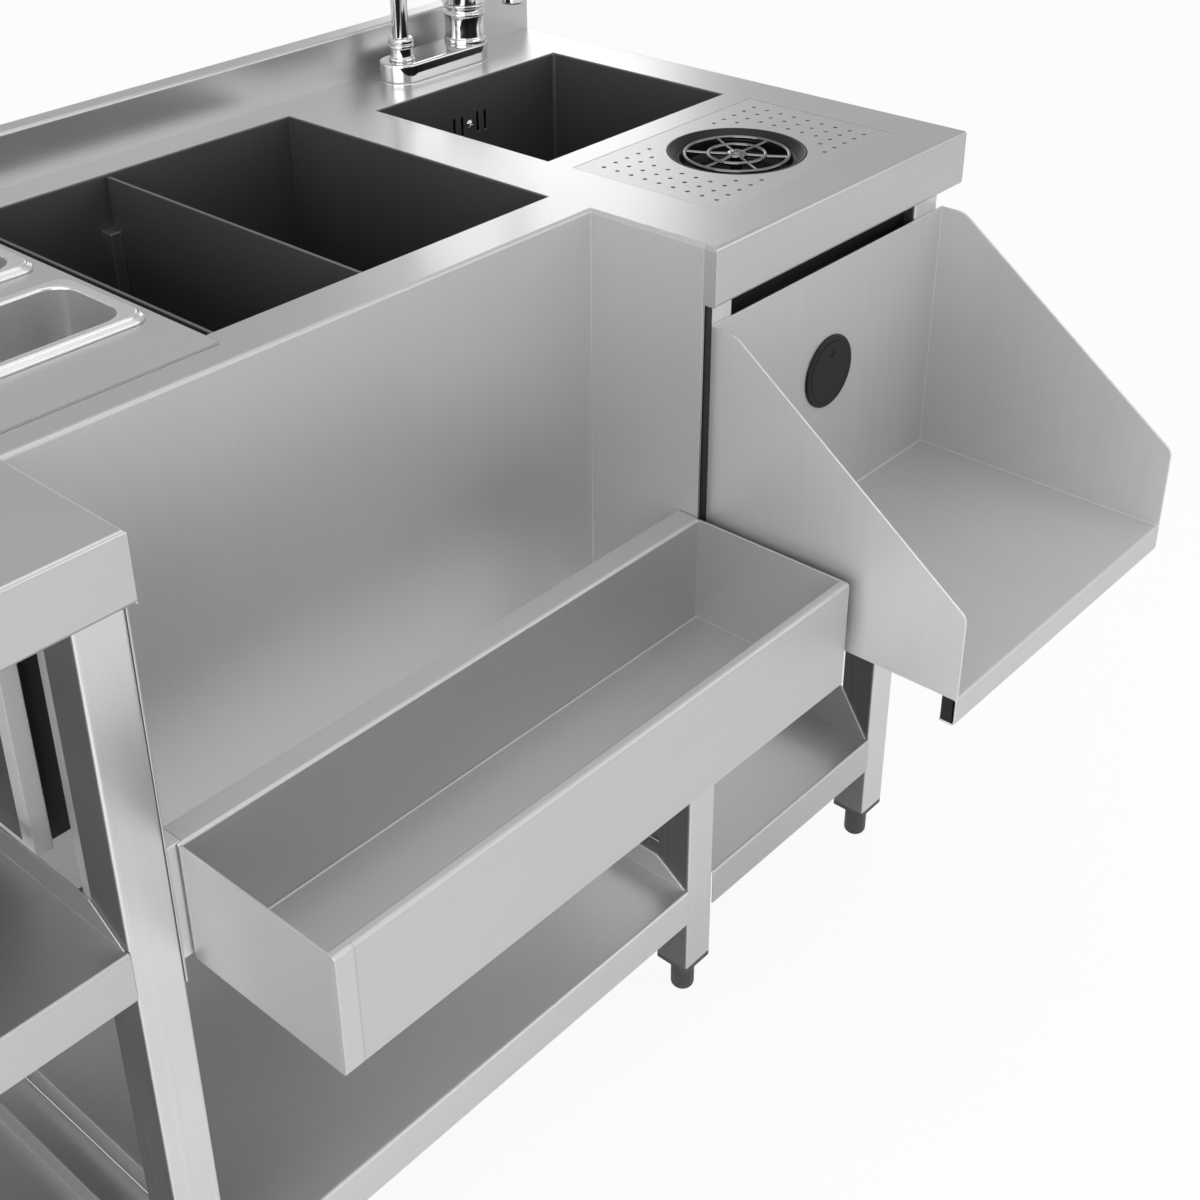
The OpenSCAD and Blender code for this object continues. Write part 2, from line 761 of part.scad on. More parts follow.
// Bottle trap under the sink, with its outlet to the back
module sink_trap() {
  neck_h = 24;
  bottle_r = 31;
  bottle_h = 107;
  wall = 3;
  top_z = sink_floor - waste_l;
  bottle_top = top_z - neck_h;
  bottle_z = bottle_top - bottle_h;
  out_z = bottle_top - bottle_r + wall;
  out_y = bottle_r - wall;
  color("whitesmoke") at_origin() translate([sink_cx, sink_cy, 0]) {
    difference() {
      union() {
        translate([0, 0, bottle_top]) cylinder(h = neck_h + 20, r = 21);
        translate([0, 0, bottle_z + 1]) cylinder(h = bottle_h, r = bottle_r);
        translate([0, 0, bottle_z - 15]) cylinder(h = 18, r = bottle_r + wall);
      }
      translate([0, 0, bottle_top - 4]) cylinder(h = neck_h + 26, r = 16.1);
      translate([0, 0, bottle_z + wall]) cylinder(h = bottle_h - 5, r = bottle_r - wall);
    }
    difference() {
      union() {
        translate([0, out_y, out_z]) rotate([-90, 0, 0]) cylinder(h = back_y - 12 - sink_cy - out_y, r = 16);
        translate([0, out_y + 2, out_z]) rotate([-90, 0, 0]) cylinder(h = 22, r = 22);
      }
      translate([0, out_y - wall, out_z]) rotate([-90, 0, 0]) cylinder(h = back_y - sink_cy, r = 13.5);
    }
  }
}

// Basin under the drip tray: a ledge that the plate rests on, round a sunk tray
module drip_basin() {
  in_w = tray_w - 2 * ledge_w;
  in_d = tray_d - 2 * ledge_w;
  lap = 6;
  color("silver") at_origin() difference() {
    union() {
      translate([tray_x - lap, tray_y - lap, ledge_z - sheet]) cube([tray_w + 2 * lap, tray_d + 2 * lap, sheet]);
      translate([tray_x + ledge_w - sheet, tray_y + ledge_w - sheet, basin_floor - sheet])
        cube([in_w + 2 * sheet, in_d + 2 * sheet, ledge_z - basin_floor]);
    }
    translate([tray_x + ledge_w, tray_y + ledge_w, basin_floor]) cube([in_w, in_d, tray_depth]);
    translate([tray_cx, tray_cy, basin_floor - 2 * sheet]) cylinder(h = 4 * sheet, r = 14.3);
    translate([drip_x, drip_y, basin_floor - 2 * sheet]) cylinder(h = 4 * sheet, r = 10);
  }
}

// Perforated plate, with a round cut-out that clears the rinser
module drip_plate() {
  clear_r = rinser_r + 12;
  color("silver") at_origin() {
    translate([tray_cx, tray_cy, plate_z]) difference() {
      translate([-tray_w / 2 + tray_gap, -tray_d / 2 + tray_gap, 0])
        cube([tray_w - 2 * tray_gap, tray_d - 2 * tray_gap, sheet]);
      translate([0, 0, -1]) cylinder(h = sheet + 2, r = rinser_r + 0.6);
      for (i = [-hole_nx:hole_nx], j = [-hole_ny:hole_ny]) {
        if (norm([i, j]) * hole_pitch > clear_r) {
          translate([i * hole_pitch, j * hole_pitch, -1]) cylinder(h = sheet + 2, d = hole_dia, $fn = 16);
        }
      }
    }
  }
}

module drip_drain() {
  color("gainsboro") at_origin() translate([drip_x, drip_y, 0]) difference() {
    union() {
      translate([0, 0, basin_floor]) cylinder(h = 1.2, r = 15);
      translate([0, 0, basin_floor - 46]) cylinder(h = 46.5, r = 9.95);
      translate([0, 0, basin_floor - sheet - 8]) cylinder(h = 7.95, r = 16);
    }
    translate([0, 0, basin_floor - 47]) cylinder(h = 60, r = 8);
  }
}

// Rinser's black body: a sloping ring round a bowl, with a boss for the star
module rinser_body() {
  bowl_r = star_r + 1.5;
  color("black") at_origin() translate([tray_cx, tray_cy, 0]) difference() {
    union() {
      rotate_extrude() difference() {
        translate([0, basin_floor + 0.05]) square([rinser_r, tray_depth]);
        polygon([
          [0, basin_floor + 8],
          [bowl_r - 6, basin_floor + 8],
          [bowl_r, basin_floor + 14],
          [bowl_r, star_top - 3],
          [rinser_r - 1.5, deck_h - 0.2],
          [rinser_r - 1.5, deck_h + 2],
          [0, deck_h + 2]
        ]);
      }
      translate([0, 0, basin_floor + 2]) cylinder(h = 10, r = 13);
    }
    translate([0, 0, basin_floor - 1]) cylinder(h = 40, r = star_hub_r + run_gap);
  }
}

// Star that a glass presses down: two rings, six spokes and the spray nozzle
module rinser_star() {
  wire = 2;
  ring_in = 28;
  z = star_top - wire;
  color("gainsboro") at_origin() translate([tray_cx, tray_cy, 0]) {
    for (r = [star_r - wire, ring_in]) {
      translate([0, 0, z]) rotate_extrude() translate([r, 0]) circle(wire, $fn = 24);
    }
    for (a = [0:60:300]) {
      rotate([0, 0, a]) translate([6, 0, z]) rotate([0, 90, 0]) cylinder(h = star_r - wire - 6, r = wire * 0.9, $fn = 24);
    }
    translate([0, 0, z - 3]) rotate_extrude() union() {
      square([10, 4]);
      intersection() {
        translate([0, -3]) circle(13);
        square([11, 10]);
      }
    }
    translate([0, 0, basin_floor + 1]) cylinder(h = z - basin_floor - 2, r = star_hub_r);
  }
}

module rinser_inlet() {
  color("dimgray") at_origin() translate([tray_cx, tray_cy, 0]) difference() {
    union() {
      translate([0, 0, basin_floor - 42]) cylinder(h = 42, r = 14);
      translate([0, 0, basin_floor - sheet - 10]) cylinder(h = 9.95, r = 24);
      translate([0, 0, basin_floor - 66]) cylinder(h = 26, r = 9);
    }
    translate([0, 0, basin_floor - 24 - star_travel]) cylinder(h = 34 + star_travel, r = star_hub_r + 1.5);
    translate([0, 0, basin_floor - 70]) cylinder(h = 60, r = 5);
  }
}

// Tap base: an oblong block with rounded ends and eased top edges
module tap_base() {
  ease = 2;
  color("gainsboro") at_origin() difference() {
    union() {
      for (x = [0, tap_pitch]) {
        translate([tap_x + x, tap_y, deck_h]) rotate_extrude() union() {
          square([tap_r, tap_base_h - ease]);
          square([tap_r - ease, tap_base_h]);
          translate([tap_r - ease, tap_base_h - ease]) circle(ease);
        }
      }
      translate([tap_x, tap_y, deck_h]) rotate([90, 0, 90]) linear_extrude(tap_pitch) union() {
        translate([-tap_r, 0]) square([2 * tap_r, tap_base_h - ease]);
        translate([-tap_r + ease, 0]) square([2 * (tap_r - ease), tap_base_h]);
        for (s = [-1, 1]) {
          translate([s * (tap_r - ease), tap_base_h - ease]) circle(ease);
        }
      }
    }
    translate([tap_x, tap_y, deck_h + 4]) cylinder(h = tap_base_h, r = spout_r + run_gap);
  }
}

// Ringed collar round the foot of the spout
module tap_collar() {
  color("gainsboro") at_origin() translate([tap_x, tap_y, tap_z]) rotate_extrude() {
    in_r = spout_r + run_gap;
    wide = collar_r - in_r;
    translate([in_r, 0]) square([wide - 2, collar_h]);
    for (z = [2, collar_h - 9, collar_h - 3.5]) {
      translate([in_r, z - 2]) square([wide - 1.8, 4]);
      translate([collar_r - 2, z]) circle(2, $fn = 24);
    }
  }
}

// Spout: riser, half-circle arch and the short drop over the sink
module tap_spout() {
  bend_z = tap_z + riser_h;
  drop = 46;
  color("gainsboro") at_origin() translate([tap_x, tap_y, 0]) {
    translate([0, 0, deck_h + 5]) cylinder(h = bend_z - deck_h - 5, r = spout_r);
    translate([0, -arch_r, bend_z]) rotate([90, 0, 90]) rotate_extrude(angle = 180)
      translate([arch_r, 0]) circle(spout_r);
    translate([0, -spout_reach, bend_z - drop]) cylinder(h = drop, r = spout_r);
  }
}

module tap_aerator() {
  drop_z = tap_z + riser_h - 46;
  color("gainsboro") at_origin() translate([tap_x, tap_y - spout_reach, drop_z]) difference() {
    translate([0, 0, -14]) cylinder(h = 14, r = spout_r + 2.2);
    translate([0, 0, -15]) cylinder(h = 8, r = spout_r);
    for (a = [0:60:300]) {
      rotate([0, 0, a]) translate([spout_r * 0.55, 0, -10]) cylinder(h = 6, r = 1.6, $fn = 16);
    }
  }
}

// Valve column on the right of the base, with a groove under the cap
module tap_valve() {
  color("gainsboro") at_origin() translate([tap_x + tap_pitch, tap_y, tap_z]) {
    rotate_extrude() {
      square([tap_r - 3, valve_h]);
      translate([0, 3]) square([tap_r - 1.5, valve_h - 12]);
      for (z = [2.7, valve_h - 12, valve_h - 3]) {
        translate([tap_r - 4.2, z]) circle(2.6, $fn = 24);
      }
    }
    translate([0, 0, valve_h - 1]) cylinder(h = 15.8, r = 8);
  }
}

// Cap that turns for the temperature and carries the lever's ears
module tap_cap() {
  color("gainsboro") at_origin() translate([tap_x + tap_pitch, tap_y, cap_z]) {
    difference() {
      rotate_extrude() union() {
        square([tap_r, cap_h - 5]);
        square([tap_r - 5, cap_h]);
        translate([tap_r - 5, cap_h - 5]) circle(5);
      }
      translate([0, 0, -1]) cylinder(h = 18, r = 8 + run_gap);
      translate([-6.2, -tap_r - 1, cap_h - 8]) cube([12.4, tap_r + 13, 20]);
    }
    for (s = [-1, 1]) {
      difference() {
        translate([s * 9 - 2.5, -9, cap_h - 5]) cube([5, 18, 15]);
        translate([s * 9 - 4, 0, cap_h + 4]) rotate([0, 90, 0]) cylinder(h = 8, r = 2.5 + run_gap);
      }
    }
  }
}

// Lever on its cross pin
module tap_lever() {
  color("gainsboro") at_origin() translate([tap_x + tap_pitch, tap_y, cap_z + cap_h + 4]) {
    rotate([0, 90, 0]) translate([0, 0, -11.5]) cylinder(h = 23, r = 2.5);
    rotate([0, 90, 0]) translate([0, 0, -6]) cylinder(h = 12, r = 6.5);
    translate([0, 0, 0]) rotate([75, 0, 0]) {
      cylinder(h = lever_l - 6, r1 = 5.8, r2 = 4.5);
      translate([0, 0, lever_l - 6]) sphere(6.5);
    }
  }
}

// Threaded shanks under the deck, with their washers and nuts
module tap_shanks() {
  color("gainsboro") at_origin() for (x = [0, tap_pitch]) {
    translate([tap_x + x, tap_y, 0]) {
      translate([0, 0, deck_z - shank_l]) cylinder(h = shank_l + sheet - 0.05, r = shank_r);
      translate([0, 0, deck_z - 3]) cylinder(h = 2.95, r = shank_r + 8);
      translate([0, 0, deck_z - 13]) cylinder(h = 10, r = shank_r + 5.5, $fn = 6);
      translate([0, 0, deck_z - shank_l - 30]) cylinder(h = 31, r = 6.5);
    }
  }
}

// Bar across the recess that carries the rail, with a bracket down each leg
module rail_bar() {
  color("silver") at_origin() {
    translate([-rec_x + 0.1, bar_y0, bar_top - bar_h]) rotate([90, 0, 90])
      linear_extrude(recess_w - 0.2) difference() {
        square([bar_d, bar_h]);
        translate([sheet, sheet]) square([bar_d - 2 * sheet, bar_h - 2 * sheet]);
      }
    for (s = [0, 1]) {
      brk_h = rail_h - 4 - s * sheet;
      mirror([s, 0, 0]) translate([-rec_x + 0.1, bar_y0 + bar_d, rail_top - s * sheet - brk_h]) rotate([90, 0, 0])
        linear_extrude(bar_d) union() {
          translate([0, brk_w / 2]) square([brk_w, brk_h - brk_w / 2]);
          square([brk_w / 2, brk_w]);
          translate([brk_w / 2, brk_w / 2]) circle(brk_w / 2);
        }
    }
  }
}

// Speed rail: an open trough folded from one sheet, with its lip on the bar and a hem in front
module speed_rail() {
  reach = rail_front + rail_back + sheet - 2 * k;
  lip_flat = rail_lip - k;
  path = [
    [lip_flat, -90],
    [rail_h - 2 * k, 90],
    [reach, 90],
    [rail_h - 2 * k, 90],
    [rail_hem - 2 * k, 90],
    [3, 0]
  ];
  color("lightgray") at_origin() {
    difference() {
      translate([rail_x1, 0, 0]) rotate([90, 0, -90]) linear_extrude(rail_x1 - rail_x0)
        translate([-rail_back - rail_lip, rail_top - sheet]) strip(path, sheet, bend_r);
      // Notch that lets the left bracket come up flush with the lip
      translate([-rec_x - 1, bar_y0 - 0.3, rail_top - k]) cube([brk_w + 1.4, rail_lip + 5, k + 1]);
    }
    for (x = [rail_x0, rail_x1 - sheet]) {
      translate([x, 0, 0]) rotate([90, 0, 90]) linear_extrude(sheet)
        translate([-rail_front, rail_top - rail_h]) round_rect(rail_front + rail_back + sheet, rail_h, k);
    }
  }
}

// Side view of a wing of the blender shelf: level top, sloping edge and two round corners
module wing_outline() {
  r1 = 25;
  r2 = 12;
  c1 = [5, shelf_top - r1];
  c2 = [shelf_front - r2, shelf_floor + wing_front - r2 + 3];
  d = c2 - c1;
  phi = atan2(d[1], d[0]) + acos((r1 - r2) / norm(d));
  n = [cos(phi), sin(phi)];
  polygon([
    [-leg_set, bshelf_z + 1],
    [-leg_set, shelf_top],
    [c1[0], shelf_top],
    c1 + r1 * n,
    c2 + r2 * n,
    [shelf_front, c2[1]],
    [shelf_front, bshelf_z + 1]
  ]);
  intersection() {
    translate(c1) circle(r1);
    translate([-leg_set, bshelf_z]) square([shelf_front + leg_set, shelf_top - bshelf_z + 1]);
  }
  translate(c2) circle(r2);
}

module blender_shelf() {
  back_flat = shelf_top - bshelf_z - k;
  path = [
    [back_flat, 90],
    [shelf_front + leg_set - 2 * k, -90],
    [shelf_lip - 2 * k + sheet, -90],
    [12, 0]
  ];
  color("lightgray") at_origin() difference() {
    union() {
      translate([bshelf_x1, 0, 0]) rotate([90, 0, -90]) linear_extrude(shelf_w)
        translate([-leg_set, shelf_top]) rotate(-90) strip(path, sheet, bend_r);
      for (x = [bshelf_x0, bshelf_x1 - sheet]) {
        translate([x + sheet, 0, 0]) rotate([90, 0, -90]) linear_extrude(sheet) wing_outline();
      }
    }
    translate([grommet_x, leg_set - 10, grommet_z]) rotate([-90, 0, 0]) cylinder(h = 20, r = grommet_hole);
  }
}

// Black trim of the blender shelf: the tube behind its back, the strip that closes the gap
// between the left wing and its leg, and a plug in each end of the front lip
module shelf_rail() {
  lip_y = -shelf_front + k + 0.3;
  lip_z = shelf_floor - shelf_lip;
  color("dimgray") at_origin() {
    translate([leg_xs[2] + leg_w + 0.1, leg_set + leg_w - hang_d, shelf_top - 30]) rotate([90, 0, 90])
      linear_extrude(leg_xs[3] - leg_xs[2] - leg_w - 0.2) difference() {
        square([hang_d, hang_h]);
        translate([sheet, sheet]) square([hang_d - 2 * sheet, hang_h - 2 * sheet]);
      }
    translate([leg_x2 + 1.2, leg_set - 2.5, bshelf_z]) cube([shelf_in - 1.4, 2.4, deck_h - apron_h - 1 - bshelf_z]);
    for (x = [bshelf_x0 + 0.5, bshelf_x1 - plug_l - 0.5]) {
      translate([x, lip_y, lip_z + 0.1]) cube([plug_l, 11, bshelf_z - lip_z - 0.2]);
    }
  }
}

module grommet_body() {
  color("black") at_origin() translate([grommet_x, leg_set - sheet, grommet_z]) rotate([90, 0, 0]) difference() {
    union() {
      rotate_extrude() union() {
        square([grommet_dia / 2 - 2.5, 3]);
        square([grommet_dia / 2, 1]);
        translate([grommet_dia / 2 - 2.5, 0.5]) circle(2.5);
      }
      translate([0, 0, -14]) cylinder(h = 14, r = grommet_hole - 0.1);
    }
    translate([0, 0, -15]) cylinder(h = 30, r = grommet_hole - 3);
    translate([0, 0, 1]) cylinder(h = 3, r = grommet_hole - 1);
    translate([0, 0, -4]) rotate_extrude() translate([grommet_hole, -20]) square([20, 20 + 4 + 0.02]);
  }
}

module grommet_cap() {
  color("black") at_origin() translate([grommet_x, leg_set - sheet, grommet_z]) rotate([90, 0, 0]) difference() {
    union() {
      translate([0, 0, 1.1]) cylinder(h = 2.2, r = grommet_hole - 1.3);
      translate([0, 0, -6]) cylinder(h = 8, r = grommet_hole - 3.3);
    }
    translate([0, 0, -7]) cylinder(h = 8, r = grommet_hole - 5.5);
    translate([0, grommet_hole * 0.62, 2.5]) cylinder(h = 2, r = 5);
  }
}

// Square leg tube
module leg(x, y) {
  color("lightgray") at_origin() translate([x, y, leg_z0]) linear_extrude(leg_top - leg_z0) difference() {
    round_rect(leg_w, leg_w, 3);
    translate([leg_t, leg_t]) round_rect(leg_w - 2 * leg_t, leg_w - 2 * leg_t, 1.5);
  }
}

module leg_front_1() {
  leg(leg_xs[0], leg_set);
}

module leg_front_2() {
  leg(leg_xs[1], leg_set);
}

module leg_front_3() {
  leg(leg_xs[2], leg_set);
}

module leg_front_4() {
  leg(leg_xs[3], leg_set);
}

module legs_rear() {
  for (x = leg_xs) {
    leg(x, leg_back_y);
  }
}

// Caps that close the legs and take the feet's stems
module leg_caps() {
  plug = leg_w - 2 * leg_t - 0.2;
  color("black") at_origin() for (x = leg_xs, y = [leg_set, leg_back_y]) {
    translate([x, y, foot_h]) difference() {
      union() {
        linear_extrude(cap_t) round_rect(leg_w, leg_w, 3);
        translate([leg_t + 0.1, leg_t + 0.1, 0]) linear_extrude(cap_t + 14) round_rect(plug, plug, 1.5);
      }
      translate([leg_w / 2, leg_w / 2, -1]) cylinder(h = cap_t + 20, r = stem_r + run_gap);
    }
  }
}

// Adjustable foot: a threaded stem and a round foot with an eased base
module foot(x, y) {
  ease = 5;
  color("black") at_origin() translate([x + leg_w / 2, y + leg_w / 2, 0]) {
    rotate_extrude() union() {
      translate([0, ease]) square([foot_r, foot_h - 8 - ease]);
      square([foot_r - ease, foot_h - 8]);
      translate([foot_r - ease, ease]) circle(ease);
      translate([0, foot_h - 8.5]) square([foot_r - 2, 8.4]);
    }
    translate([0, 0, foot_h - 1]) cylinder(h = foot_drop + 22, r = stem_r);
  }
}

module foot_front_1() {
  foot(leg_xs[0], leg_set);
}

module foot_front_2() {
  foot(leg_xs[1], leg_set);
}

module foot_front_3() {
  foot(leg_xs[2], leg_set);
}

module foot_front_4() {
  foot(leg_xs[3], leg_set);
}

module foot_rear_1() {
  foot(leg_xs[0], leg_back_y);
}

module foot_rear_2() {
  foot(leg_xs[1], leg_back_y);
}

module foot_rear_3() {
  foot(leg_xs[2], leg_back_y);
}

module foot_rear_4() {
  foot(leg_xs[3], leg_back_y);
}

// Shelf between two legs: a folded front, a folded back and a side upstand along each leg
module frame_shelf(x0, x1, z, up0, up1) {
  fit = 0.1;
  w = x1 - x0 - 2 * fit;
  y1 = back_y - sheet;
  path = [[shelf_fold - 2 * k, -90], [y1 - leg_set - 2 * k, -90], [shelf_fold - k, 0]];
  color("lightgray") at_origin() translate([x0 + fit, 0, 0]) {
    rotate([90, 0, 90]) linear_extrude(w)
      translate([leg_set, z - shelf_fold + k]) rotate(90) strip(path, sheet, bend_r);
    for (side = [[0, up0], [w - sheet, up1]]) {
      translate([side[0], 0, 0]) rotate([90, 0, 90]) linear_extrude(sheet) polygon([
        [leg_set + 3, z - 0.5],
        [leg_set + leg_w, z + side[1]],
        [y1 - 3, z + side[1]],
        [y1 - 3, z - 0.5]
      ]);
    }
  }
}

module undershelf_left() {
  frame_shelf(leg_xs[0] + leg_w, leg_xs[1], low_shelf, end_upstand, upstand);
}

module undershelf_middle() {
  frame_shelf(leg_xs[1] + leg_w, leg_xs[2], low_shelf, upstand, upstand);
}

module undershelf_right() {
  frame_shelf(leg_xs[2] + leg_w, leg_xs[3], low_shelf, upstand, end_upstand);
}

module middle_shelf() {
  frame_shelf(leg_xs[0] + leg_w, leg_xs[1], mid_shelf, end_upstand, upstand);
}

worktop();
splashback();
recess_panel();
back_panel();
deck_stiffeners();
bin_liner();
bin_foam();
bin_casing();
bin_stays();
bin_drain();
divider_guides();
divider();
partition();
pan_holder();
pan_front();
pan_back();
sink_bowl();
overflow_screw();
overflow_box();
sink_waste();
sink_strainer();
sink_trap();
drip_basin();
drip_plate();
drip_drain();
rinser_body();
rinser_star();
rinser_inlet();
tap_base();
tap_collar();
tap_spout();
tap_aerator();
tap_valve();
tap_cap();
tap_lever();
tap_shanks();
rail_bar();
speed_rail();
blender_shelf();
shelf_rail();
grommet_body();
grommet_cap();
leg_front_1();
leg_front_2();
leg_front_3();
leg_front_4();
legs_rear();
leg_caps();
foot_front_1();
foot_front_2();
foot_front_3();
foot_front_4();
foot_rear_1();
foot_rear_2();
foot_rear_3();
foot_rear_4();
undershelf_left();
undershelf_middle();
undershelf_right();
middle_shelf();
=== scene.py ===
"""Looks of a stainless bar station with an ice bin, a sink, a glass rinser, a speed rail and a blender shelf.

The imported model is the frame. Sheet-metal nodes keep their shape and get brushed finishes. Pressed, turned
and moulded pieces (pans, tap, rinser, feet) are surfaces computed here that stand for their nodes. The stand's
side members are computed here too and stand for no node.
"""

from __future__ import annotations

import logging
import math
from dataclasses import dataclass
from enum import Enum
from typing import Any, Iterable, Sequence

import bmesh
import bpy
import numpy as np
from mathutils import Matrix, Vector
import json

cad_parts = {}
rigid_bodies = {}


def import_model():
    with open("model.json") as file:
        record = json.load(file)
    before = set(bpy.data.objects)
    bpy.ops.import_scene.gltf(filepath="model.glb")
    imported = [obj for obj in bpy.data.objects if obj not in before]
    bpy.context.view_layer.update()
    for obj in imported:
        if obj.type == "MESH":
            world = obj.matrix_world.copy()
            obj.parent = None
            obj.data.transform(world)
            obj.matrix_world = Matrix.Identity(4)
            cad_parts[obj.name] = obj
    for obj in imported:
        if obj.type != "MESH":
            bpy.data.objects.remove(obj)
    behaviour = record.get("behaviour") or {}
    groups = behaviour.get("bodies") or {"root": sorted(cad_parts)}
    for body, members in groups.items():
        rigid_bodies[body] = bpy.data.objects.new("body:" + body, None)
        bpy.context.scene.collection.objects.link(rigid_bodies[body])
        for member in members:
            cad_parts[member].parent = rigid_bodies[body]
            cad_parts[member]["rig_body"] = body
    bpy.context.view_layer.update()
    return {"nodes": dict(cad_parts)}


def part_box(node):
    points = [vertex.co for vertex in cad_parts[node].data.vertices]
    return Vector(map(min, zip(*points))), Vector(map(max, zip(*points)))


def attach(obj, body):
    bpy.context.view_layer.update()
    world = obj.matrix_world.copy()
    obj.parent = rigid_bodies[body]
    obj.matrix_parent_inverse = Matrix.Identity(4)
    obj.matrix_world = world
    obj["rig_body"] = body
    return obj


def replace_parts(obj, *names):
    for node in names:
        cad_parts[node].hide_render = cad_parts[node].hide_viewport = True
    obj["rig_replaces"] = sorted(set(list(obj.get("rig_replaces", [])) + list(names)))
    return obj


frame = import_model()

log = logging.getLogger("bar_station")
MM = 0.001
Array = np.ndarray

# Layers of the brushing: cycles per metre along and across it, octaves, and which pattern.
FINE_LINES = (2.0, 700.0, 0.0, 0.0)
HAIR_LINES = (1.2, 260.0, 1.0, 4.0)
BROAD_BANDS = (0.7, 24.0, 2.0, 9.0)
SCRATCHES = (9.0, 380.0, 0.0, 13.0)
# Height of the brushed lines, in metres.
LINE_HEIGHT = 0.000002
# A face whose normal has more than this along an axis counts as square to it.
SQUARE_ON = 0.7
# Weight of the finer octaves in the brushing.
LINE_ROUGHNESS = 0.58


class Grain(Enum):
    """Way that the brushing runs on a sheet's standing faces."""

    LEVEL = "level"
    UPRIGHT = "upright"


class Wire:
    """A value socket that adds Math nodes when it is used in an expression."""

    def __init__(self, bench: "Bench", socket: bpy.types.NodeSocket) -> None:
        """Keeps the bench that makes the nodes and the socket itself."""
        self.bench = bench
        self.socket = socket

    def __add__(self, other: Any) -> "Wire":
        """Sum of two values."""
        return self.bench.math("ADD", self, other)

    def __radd__(self, other: Any) -> "Wire":
        """Sum with the number first."""
        return self.bench.math("ADD", other, self)

    def __sub__(self, other: Any) -> "Wire":
        """Difference of two values."""
        return self.bench.math("SUBTRACT", self, other)

    def __rsub__(self, other: Any) -> "Wire":
        """Difference with the number first."""
        return self.bench.math("SUBTRACT", other, self)

    def __mul__(self, other: Any) -> "Wire":
        """Product of two values."""
        return self.bench.math("MULTIPLY", self, other)

    def __abs__(self) -> "Wire":
        """Size of the value without its sign."""
        return self.bench.math("ABSOLUTE", self)

    def between(self, low: float, high: float) -> "Wire":
        """Smooth step from 0 at low to 1 at high."""
        node = self.bench.put(
            "ShaderNodeMapRange",
            {"interpolation_type": "SMOOTHSTEP"},
            {0: self, 1: low, 2: high, 3: 0.0, 4: 1.0},
        )
        return Wire(self.bench, node.outputs[0])


